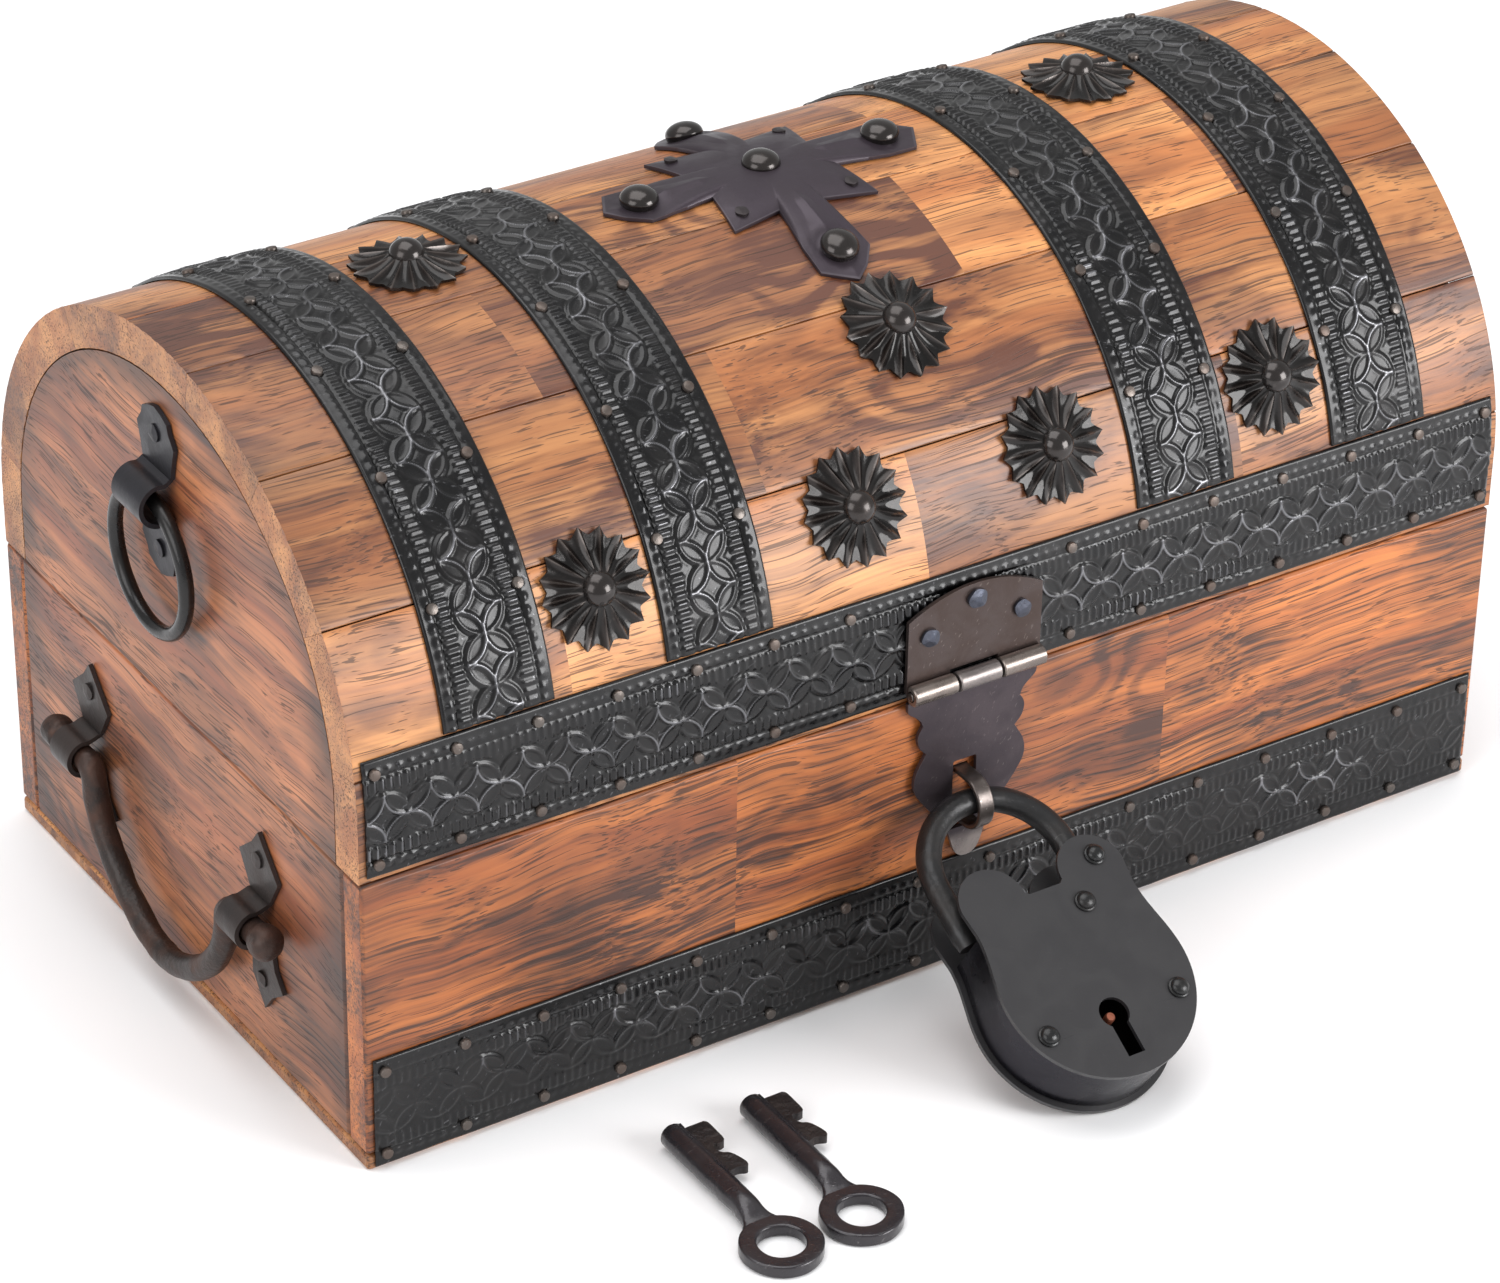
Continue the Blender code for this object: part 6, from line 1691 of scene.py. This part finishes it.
    def shackle(self) -> Shell:
        """Return the bar: a leg, half a circle and a second leg, with an eye on the pivot rivet."""
        left, right = self.bow_x - self.bow_radius, self.pivot[0]
        bow = arc_line(self.bow_x, -self.bow_rise, self.bow_radius, -np.pi, 0.0, 56)
        eye_top = self.pivot[1] - (self.eye_radius + self.rivet_pin + self.fit) / 2
        first = np.column_stack([np.full(5, left), np.linspace(0.0050, -self.bow_rise, 6)[:-1]])
        last = np.column_stack([np.full(3, right), np.linspace(-self.bow_rise, eye_top, 4)[1:]])
        path = np.concatenate([first, bow, last])
        path = np.column_stack([path, np.full(len(path), self.depth / 2)])
        radii = np.full(len(path), self.rod)
        radii[0] *= 0.85
        bar = tube(sections(path, radii, UP, 32))
        ring = arc_line(*self.pivot, self.eye_radius, 0.0, 2 * np.pi, 32)[:-1]
        eye = slab([ring, self.hole(self.pivot)], 2 * self.rod)
        eye = placed(eye, moved(0.0, 0.0, self.depth / 2 - self.rod))
        return placed(join([bar, eye]), self.place())

    def post(self) -> Shell:
        """Return the key post, which stands on the back plate and tapers at its tip."""
        r, length = self.post_radius, self.depth - 3 * self.plate
        profile = np.array(((r, 0.0), (r, length - 0.0005), (r * 0.8, length - 0.0001), (r * 0.3, length)))
        root = self.depth - self.plate - self.fit
        return placed(turned(profile, 20), self.place(0.0, self.keyhole_drop, root, True))

    def build(self) -> None:
        """Make every piece of the lock."""
        holes = [self.hole(spot) for spot in (self.pivot,) + self.rivets]
        front = slab([self.outline(0.0), self.keyhole()] + holes, self.plate)
        back = slab([self.outline(self.rim), holes[0]], self.plate)
        outer, inner = (self.mirrored(self.side(grow), grow) for grow in (-self.rim, -self.rim - self.plate))
        wall = slab([np.concatenate([outer, inner[::-1]])], self.depth - 2 * (self.plate + self.fit))
        black, band = Finishes.lock_black, Finishes.lock_band
        for word, node, shell, depth, finish, bevel in (
                ("face", "front_plate", front, 0.0, black, self.bevel),
                ("back", "back_plate", back, self.depth - self.plate, black, self.bevel),
                ("wall", "band", wall, self.plate + self.fit, band, self.wall_bevel)):
            make_piece(f"padlock_{word}", placed(shell, self.place(depth=depth)), "padlock_case", finish,
                       (f"padlock_{node}",), 30.0, bevel)
        fixed = join([self.rivet(spot, self.depth - self.plate / 2) for spot in self.rivets])
        make_piece("padlock_fixed_rivets", fixed, "padlock_case", Finishes.lock_rivet)
        make_piece("padlock_pivot_head", self.rivet(self.pivot, self.depth), "padlock_case",
                   Finishes.lock_rivet, ("padlock_pivot_rivet",))
        make_piece("padlock_post", self.post(), "padlock_case", Finishes.copper,
                   ("padlock_key_post",))
        make_piece("padlock_bow", self.shackle(), "shackle", Finishes.shackle_black,
                   ("padlock_shackle",), 50.0)


@dataclass
class Keys:
    """Two keys that lie flat: a bored round shank, a bit with hooks, and a thick flat ring bow."""

    tip_y: float = -0.1300
    length: float = 0.0635
    shank: float = 0.0035
    bow_radius: float = 0.0112
    bow_hole: float = 0.0063
    bow_thickness: float = 0.0036
    bit_reach: float = 0.0100
    bit_length: float = 0.0220
    bit_thickness: float = 0.0024
    bit_inset: float = 0.0010
    bore: float = 0.0018
    bore_depth: float = 0.0100
    floor_gap: float = 0.0002
    seam_angle: float = 0.82
    seam_height: float = 0.00032
    places: tuple[tuple[str, float], ...] = (("left", -0.1080), ("right", -0.0838))
    bit_shares: tuple[Pair, ...] = (
        (0.00, 0.92), (0.05, 1.00), (0.24, 1.00), (0.42, 0.97), (0.46, 0.80), (0.44, 0.62), (0.52, 0.55),
        (0.62, 0.62), (0.66, 0.76), (0.74, 0.86), (0.92, 0.95), (1.00, 0.86), (0.96, 0.62), (0.98, 0.30))

    def bar(self, x: float) -> Shell:
        """Return the shank.

        Each ring is a superellipse whose width, height and squareness follow the length: flat and
        square where it meets the bow, round from there to the tip, where it turns into the bore. A
        thin seam stands out along the side of the bit.
        """
        bow_y = self.tip_y - self.length + self.bow_radius
        mid = self.floor_gap + self.bow_thickness / 2
        s, top, bore = self.shank, self.floor_gap + self.shank, self.bore
        bit_end = self.tip_y - self.bit_length
        rows = np.array((
            (bow_y + 0.0080, 0.0052, 0.0015, mid, 3.4, 0.0), (bow_y + 0.0098, 0.0054, 0.0018, mid, 3.2, 0.0),
            (bow_y + 0.0114, 0.0044, 0.0021, mid + 0.0003, 2.9, 0.0),
            (bow_y + 0.0132, 0.0037, 0.0026, mid + 0.0008, 2.6, 0.0),
            (bow_y + 0.0155, 0.0035, 0.0031, top - 0.0003, 2.4, 0.0),
            (bow_y + 0.0180, 0.0034, s - 0.0001, top, 2.1, 0.0), (bow_y + 0.0215, s, s, top, 2.0, 0.0),
            (bit_end - 0.0020, s, s, top, 2.0, 0.0), (bit_end - 0.0005, s, s, top, 2.0, 1.0),
            (self.tip_y - 0.0120, s, s, top, 2.0, 1.0), (self.tip_y - 0.0006, s, s, top, 2.0, 1.0),
            (self.tip_y, s - 0.0004, s - 0.0004, top, 2.0, 0.4), (self.tip_y, bore, bore, top, 2.0, 0.0),
            (self.tip_y - self.bore_depth, bore, bore, top, 2.0, 0.0)))
        rows = np.concatenate([smooth_line(rows[:11], 4), rows[11:]])
        y, wide, high, middle, squareness, share = rows.T[:, :, None]
        t = around(96)[None, :]
        seam = share * self.seam_height * np.exp(-((t - self.seam_angle) / 0.085) ** 2)
        u = rounded(np.cos(t), 2.0 / squareness) * wide + seam * np.cos(t)
        v = rounded(np.sin(t), 2.0 / squareness) * high + seam * np.sin(t)
        points = np.stack(np.broadcast_arrays(x + u, y, middle + v), axis=-1)
        wander = 0.00007 * smooth_noise(points, 0.006, 91)[..., None]
        outward = np.stack([u, np.zeros_like(u), v], axis=-1) / s
        points = points + np.where((wide > bore + 1e-6)[..., None], wander * outward, 0.0)
        points[..., 2] = np.maximum(points[..., 2], self.floor_gap)
        return tube(points)

    def bow(self, x: float) -> Shell:
        """Return the bow: a nearly square section carried round a circle."""
        centre_y = self.tip_y - self.length + self.bow_radius
        middle, half = (self.bow_radius + self.bow_hole) / 2, (self.bow_radius - self.bow_hole) / 2
        a, t = around(72)[:, None], around(36)[None, :]
        u = rounded(np.cos(t), 0.30) * half
        v = rounded(np.sin(t), 0.30) * self.bow_thickness / 2
        reach = middle - 0.00012 + 0.95 * u + 0.00008 * np.sin(3 * a + 1.0)
        points = np.stack(np.broadcast_arrays(x + reach * np.cos(a), centre_y + reach * np.sin(a),
                                              self.floor_gap + self.bow_thickness / 2 + v), axis=-1)
        points = points + 0.00006 * smooth_noise(points, 0.007, 93)[..., None]
        points[..., 2] = np.maximum(points[..., 2], self.floor_gap)
        return tube(points, True)

    def bit(self, x: float) -> Shell:
        """Return the bit: a thick plate with a notch between two rounded hooks."""
        edge = smooth_line(np.array(self.bit_shares), 4)
        line = np.column_stack([self.bit_reach * edge[:, 1], -self.bit_length * edge[:, 0]])
        loop = np.concatenate([((0.0, 0.0),), line, ((0.0, -self.bit_length),)])
        rise = self.floor_gap + self.shank - self.bit_thickness / 2
        return placed(slab([loop[::-1]], self.bit_thickness), moved(x, self.tip_y - self.bit_inset, rise))

    def build(self) -> None:
        """Make both keys."""
        for word, x in self.places:
            make_piece(f"{word}_key_iron", join([self.bar(x), self.bow(x)]), f"{word}_key", Finishes.key_iron,
                       (f"key_{word}",), 50.0)
            make_piece(f"{word}_key_bit", self.bit(x), f"{word}_key", Finishes.bit_iron, (), 40.0,
                       (0.00030, 2, 40.0))


@dataclass
class Clip:
    """A strip nailed at both ends and looped over a rod, in (out of the wall, along Y, up)."""

    half_width: float
    half_height: float
    standoff: float
    loop_radius: float
    upper: tuple[tuple[Pair, ...], ...]
    lower: tuple[tuple[Pair, ...], ...]
    loop_share: float
    thickness: float = 0.0013
    fit: float = 0.0003
    wrap: float = math.radians(104.0)
    end_x: float = 0.180

    def rows(self) -> Array:
        """Return the strip's middle surface as (row, three across, 3).

        The flat ends keep their measured rows. Between them the strip leaves the wall, follows a
        circle about the rod's axis and returns, as one smooth line.
        """
        middle = self.loop_radius + self.thickness / 2
        flat = self.fit + self.thickness / 2
        foot = middle + self.thickness
        a = np.linspace(self.wrap, -self.wrap, 9)
        out = np.concatenate([[flat], self.standoff + middle * np.cos(a), [flat]])
        up = np.concatenate([[foot], middle * np.sin(a), [-foot]])
        share = np.array((-self.loop_share, 0.0, self.loop_share)) * self.half_width
        loop = np.stack(np.broadcast_arrays(out[:, None], share[None, :], up[:, None]), axis=-1)
        bent = smooth_line(loop.reshape(len(out), 9), 4).reshape(-1, 3, 3)
        size = (self.half_width, self.half_height)
        upper, lower = (np.insert(np.array(table) * size, 0, flat, axis=-1)
                        for table in (self.upper, self.lower))
        return np.concatenate([upper, bent, lower])

    def shell(self, side: Side, clip_y: float, height: float) -> Shell:
        """Return the strip on one end of the chest, half its thickness to each side of its middle."""
        rows = self.rows()
        path = rows[:, 1][:, (0, 2)]
        along = np.gradient(path, axis=0)
        along /= np.linalg.norm(along, axis=1, keepdims=True)
        off = np.column_stack([-along[:, 1], along[:, 0]]) * self.thickness / 2
        faces = []
        for turn in (1.0, -1.0):
            out = rows[..., 0] + turn * off[:, 0:1]
            up = rows[..., 2] + turn * off[:, 1:2]
            x = side.value * (self.end_x + out)
            faces.append(np.stack([x, clip_y - rows[..., 1], height + up], axis=-1))
        return sheet(*faces)


RING_CLIP_ROWS = (
    ((-0.30, 0.97), (0.00, 1.00), (0.30, 0.97)), ((-0.66, 0.90), (0.00, 0.90), (0.66, 0.90)),
    ((-0.74, 0.80), (0.00, 0.80), (0.74, 0.80)), ((-1.00, 0.66), (0.00, 0.66), (1.00, 0.66)),
    ((-0.84, 0.44), (0.00, 0.44), (0.84, 0.44)))


@dataclass
class EndIron:
    """The bail handles on the base's ends and the rings on the lid's ends, with their clips."""

    end_x: float = 0.180
    rod: float = 0.0035
    handle_height: float = 0.0500
    standoff: float = 0.0062
    half_span: float = 0.0380
    drop: float = 0.0385
    bow_power: float = 2 / 1.7
    corner: float = 0.0042
    knob: float = 0.0046
    knob_y: float = 0.0585
    clip_y: float = 0.0475
    ring_radius: float = 0.0196
    ring_rod: float = 0.0021
    ring_height: float = 0.1530
    ring_standoff: float = 0.0046
    clip_top: float = 0.0016
    clip_bevel: Bevel = (0.00022, 2, 40.0)
    nail_radius: float = 0.0024
    handle_nails: Pair = (0.0174, -0.0198)
    ring_nails: Pair = (0.0170, -0.0170)
    handle_clip: Clip = field(default_factory=lambda: Clip(
        0.0104, 0.0275, 0.0062, 0.0044,
        (((-1.00, 0.56), (-0.30, 0.78), (0.02, 0.94)), ((-0.72, 0.38), (0.14, 0.46), (0.98, 0.54))),
        (((-0.52, -0.74), (0.08, -0.62), (0.66, -0.50)), ((0.08, -1.04), (0.48, -0.84), (1.06, -0.68))),
        0.50))
    ring_clip: Clip = field(default_factory=lambda: Clip(
        0.0100, 0.0245, 0.0046, 0.0050, RING_CLIP_ROWS,
        tuple(tuple((x, -z) for x, z in row) for row in RING_CLIP_ROWS[::-1]), 0.76))

    def handle(self, side: Side) -> Shell:
        """Return one bail: knobbed ends, tight corners and a flat-bottomed bow, with a forged skin."""
        knob, corner, span, rod = self.knob, self.corner, self.half_span, self.rod
        half = [(self.knob_y + knob * 1.02, 0.0, knob * 0.25), (self.knob_y + knob * 0.86, 0.0, knob * 0.66),
                (self.knob_y + knob * 0.4, 0.0, knob), (self.knob_y - knob * 0.4, 0.0, knob * 0.98),
                (self.knob_y - knob, 0.0, rod)]
        half += [(span + corner * (1.0 - np.sin(a)), -corner * (1.0 - np.cos(a)), rod)
                 for a in np.linspace(0.0, np.pi / 2, 5)]
        half += [(span * np.cos(a) ** self.bow_power,
                  -corner - (self.drop - corner) * np.sin(a) ** self.bow_power, rod)
                 for a in np.linspace(0.0, np.pi / 2, 10)[1:-1]]
        whole = [(-y, z, r) for y, z, r in half] + [(0.0, -self.drop, rod)] + half[::-1]
        y, z, radii = smooth_line(whole, 5).T
        path = np.column_stack([np.full(len(y), side.value * (self.end_x + self.standoff)), y,
                                self.handle_height + z])
        rings = sections(path, radii, ALONG_X, 28)
        skin = smooth_noise(rings, 0.012, 101) * 0.045 + smooth_noise(rings, 0.0045, 103) * 0.02
        return tube(path[:, None, :] + (rings - path[:, None, :]) * (1.0 + skin[..., None]))

    def ring(self, side: Side) -> Shell:
        """Return one ring: a round wire with a slightly uneven skin."""
        a = around(120)
        path = np.column_stack([np.full(120, side.value * (self.end_x + self.ring_standoff)),
                                self.ring_radius * np.sin(a),
                                self.ring_height - self.ring_radius * (1.0 - np.cos(a))])
        rings = sections(path, np.full(120, self.ring_rod), ALONG_X, 20, True)
        skin = smooth_noise(rings, 0.010, 107) * 0.03
        return tube(path[:, None, :] + (rings - path[:, None, :]) * (1.0 + skin[..., None]), True)

    def clip(self, name: str, node: str, side: Side, y: float, seed: int) -> None:
        """Make one clip and its two flat nails, on the base for a bail and on the lid for a ring.

        Args:
            name: Name of the strip; its nails' name follows from it.
            node: CAD node that the strip stands for.
            side: End of the chest.
            y: Place along the end.
            seed: Seed of the first nail.
        """
        if "bail" in name:
            clip, height, ups, body = self.handle_clip, self.handle_height, self.handle_nails, "base"
            finish, slot = Finishes.clip_iron, "black_iron"
        else:
            clip, height, ups, body = self.ring_clip, self.ring_height, self.ring_nails, "lid"
            finish, slot = Finishes.ring_clip_black, "stud_black"
        make_piece(name, clip.shell(side, y, height), body, finish, (node,), 32.0, self.clip_bevel)
        x = side.value * (self.end_x + self.clip_top)
        heads = [placed(hammered_head(self.nail_radius, 0.0010, 0.0006, seed + index),
                        frame_matrix(np.array((x, y, height + up)), ALONG_X * side.value))
                 for index, up in enumerate(ups)]
        make_piece(f"{name.removesuffix('_strip')}_nails", join(heads), body, finish, (), 12.0)

    def build(self) -> None:
        """Make the handles, the rings and their clips on both ends."""
        for side in Side:
            word = side.name.lower()
            for part, node, shell, finish, slot in (
                    ("bail", "handle", self.handle(side), Finishes.handle_iron, "black_iron"),
                    ("ring", "ring", self.ring(side), Finishes.ring_black, "stud_black")):
                make_piece(f"{word}_{part}_iron", shell, f"{word}_{part}", finish,
                           (f"{node}_{word}",), 60.0)
            for end, turn in (("front", -1), ("rear", 1)):
                self.clip(f"{word}_{end}_bail_clip", f"handle_clip_{word}_{end}", side, turn * self.clip_y,
                          120 + 2 * turn)
            self.clip(f"{word}_ring_clip_strip", f"ring_clip_{word}", side, 0.0, 130)


@dataclass
class BackHinges:
    """The two hinges on the back: leaves copied from their CAD nodes with broken edges, and pins."""

    edge: float = 0.0002

    def build(self) -> None:
        """Dress the leaves and the pins."""
        for side in Side:
            for part, body, finish in (("lid_leaf", "lid", Finishes.clip_iron),
                                       ("base_leaf", "base", Finishes.clip_iron),
                                       ("pin", "base", Finishes.worn_steel)):
                refined_node(f"hinge_{side.name.lower()}_{part}", body, finish, self.edge)


# ---------------------------------------------------------------- studio


@dataclass
class Studio:
    """Camera, pale floor and soft light."""

    camera_place: Triple = (-0.7017, -1.0656, 0.8361)
    forward: Triple = (0.46781, 0.71121, -0.52472)
    right: Triple = (0.84041, -0.54174, 0.01499)
    focal_pixels: float = 5354.3
    sensor_width: float = 36.0

    def camera(self) -> None:
        """Set the camera where the photograph was taken from."""
        data = bpy.data.cameras.new("photo_camera")
        data.sensor_width = self.sensor_width
        data.lens = self.focal_pixels * self.sensor_width / PHOTO_WIDTH
        data.clip_start = 0.05
        data.clip_end = 20.0
        camera = linked("photo_camera", data)
        back = -Vector(self.forward).normalized()
        right = Vector(self.right)
        right = (right - right.dot(back) * back).normalized()
        rotation = Matrix((right, back.cross(right), back)).transposed().to_4x4()
        camera.matrix_world = Matrix.Translation(self.camera_place) @ rotation
        bpy.context.scene.camera = camera

    def floor(self) -> None:
        """Lay the pale floor."""
        reach = 6.0
        mesh = bpy.data.meshes.new("studio_floor")
        corners = [(-reach, -reach, 0.0), (reach, -reach, 0.0), (reach, reach, 0.0), (-reach, reach, 0.0)]
        mesh.from_pydata(corners, [], [(0, 1, 2, 3)])
        material, _, shader = new_material("pale_paper")
        shader["Base Color"].default_value = (0.92, 0.92, 0.93, 1.0)
        shader["Roughness"].default_value = 0.9
        shader["Specular IOR Level"].default_value = 0.1
        mesh.materials.append(material)
        piece = linked("studio_floor", mesh)

    def light(self, name: str, direction: Triple, distance: float, size: float, power: float) -> None:
        """Hang one square soft light that faces the chest.

        Args:
            name: Name of the light.
            direction: Direction from the chest to the light.
            distance: Distance from the chest.
            size: Side of the light.
            power: Power in watts.
        """
        data = bpy.data.lights.new(name, "AREA")
        data.shape = "SQUARE"
        data.size = size
        data.energy = power
        lamp = linked(name, data)
        way = Vector(direction).normalized()
        lamp.location = Vector((0.0, 0.0, 0.1)) + way * distance
        lamp.rotation_mode = "QUATERNION"
        lamp.rotation_quaternion = (-way).to_track_quat("-Z", "Y")

    def build(self) -> None:
        """Set up the whole studio."""
        scene = bpy.context.scene
        world = bpy.data.worlds.new("studio_world")
        world.use_nodes = True
        background = world.node_tree.nodes["Background"]
        background.inputs["Color"].default_value = (1.0, 1.0, 1.0, 1.0)
        background.inputs["Strength"].default_value = 0.60
        scene.world = world
        scene.view_settings.view_transform = "Standard"
        self.floor()
        self.light("front_right_softbox", (0.50, -0.86, 0.28), 1.5, 0.75, 20.0)
        self.light("overhead_softbox", (-0.1, 0.15, 1.0), 1.5, 1.4, 18.0)
        self.light("left_softbox", (-0.9, -0.25, 0.45), 1.5, 0.9, 8.0)
        self.camera()


def main() -> None:
    """Build the chest's looks piece by piece."""
    logging.basicConfig(level=logging.INFO, format="%(name)s: %(message)s")
    for part in (StaveDome, Panels, Straps, Rosettes, TopCross, Hasp, Staple, Padlock, Keys, EndIron,
                 BackHinges, Studio):
        part().build()


if __name__ == "__main__":
    main()
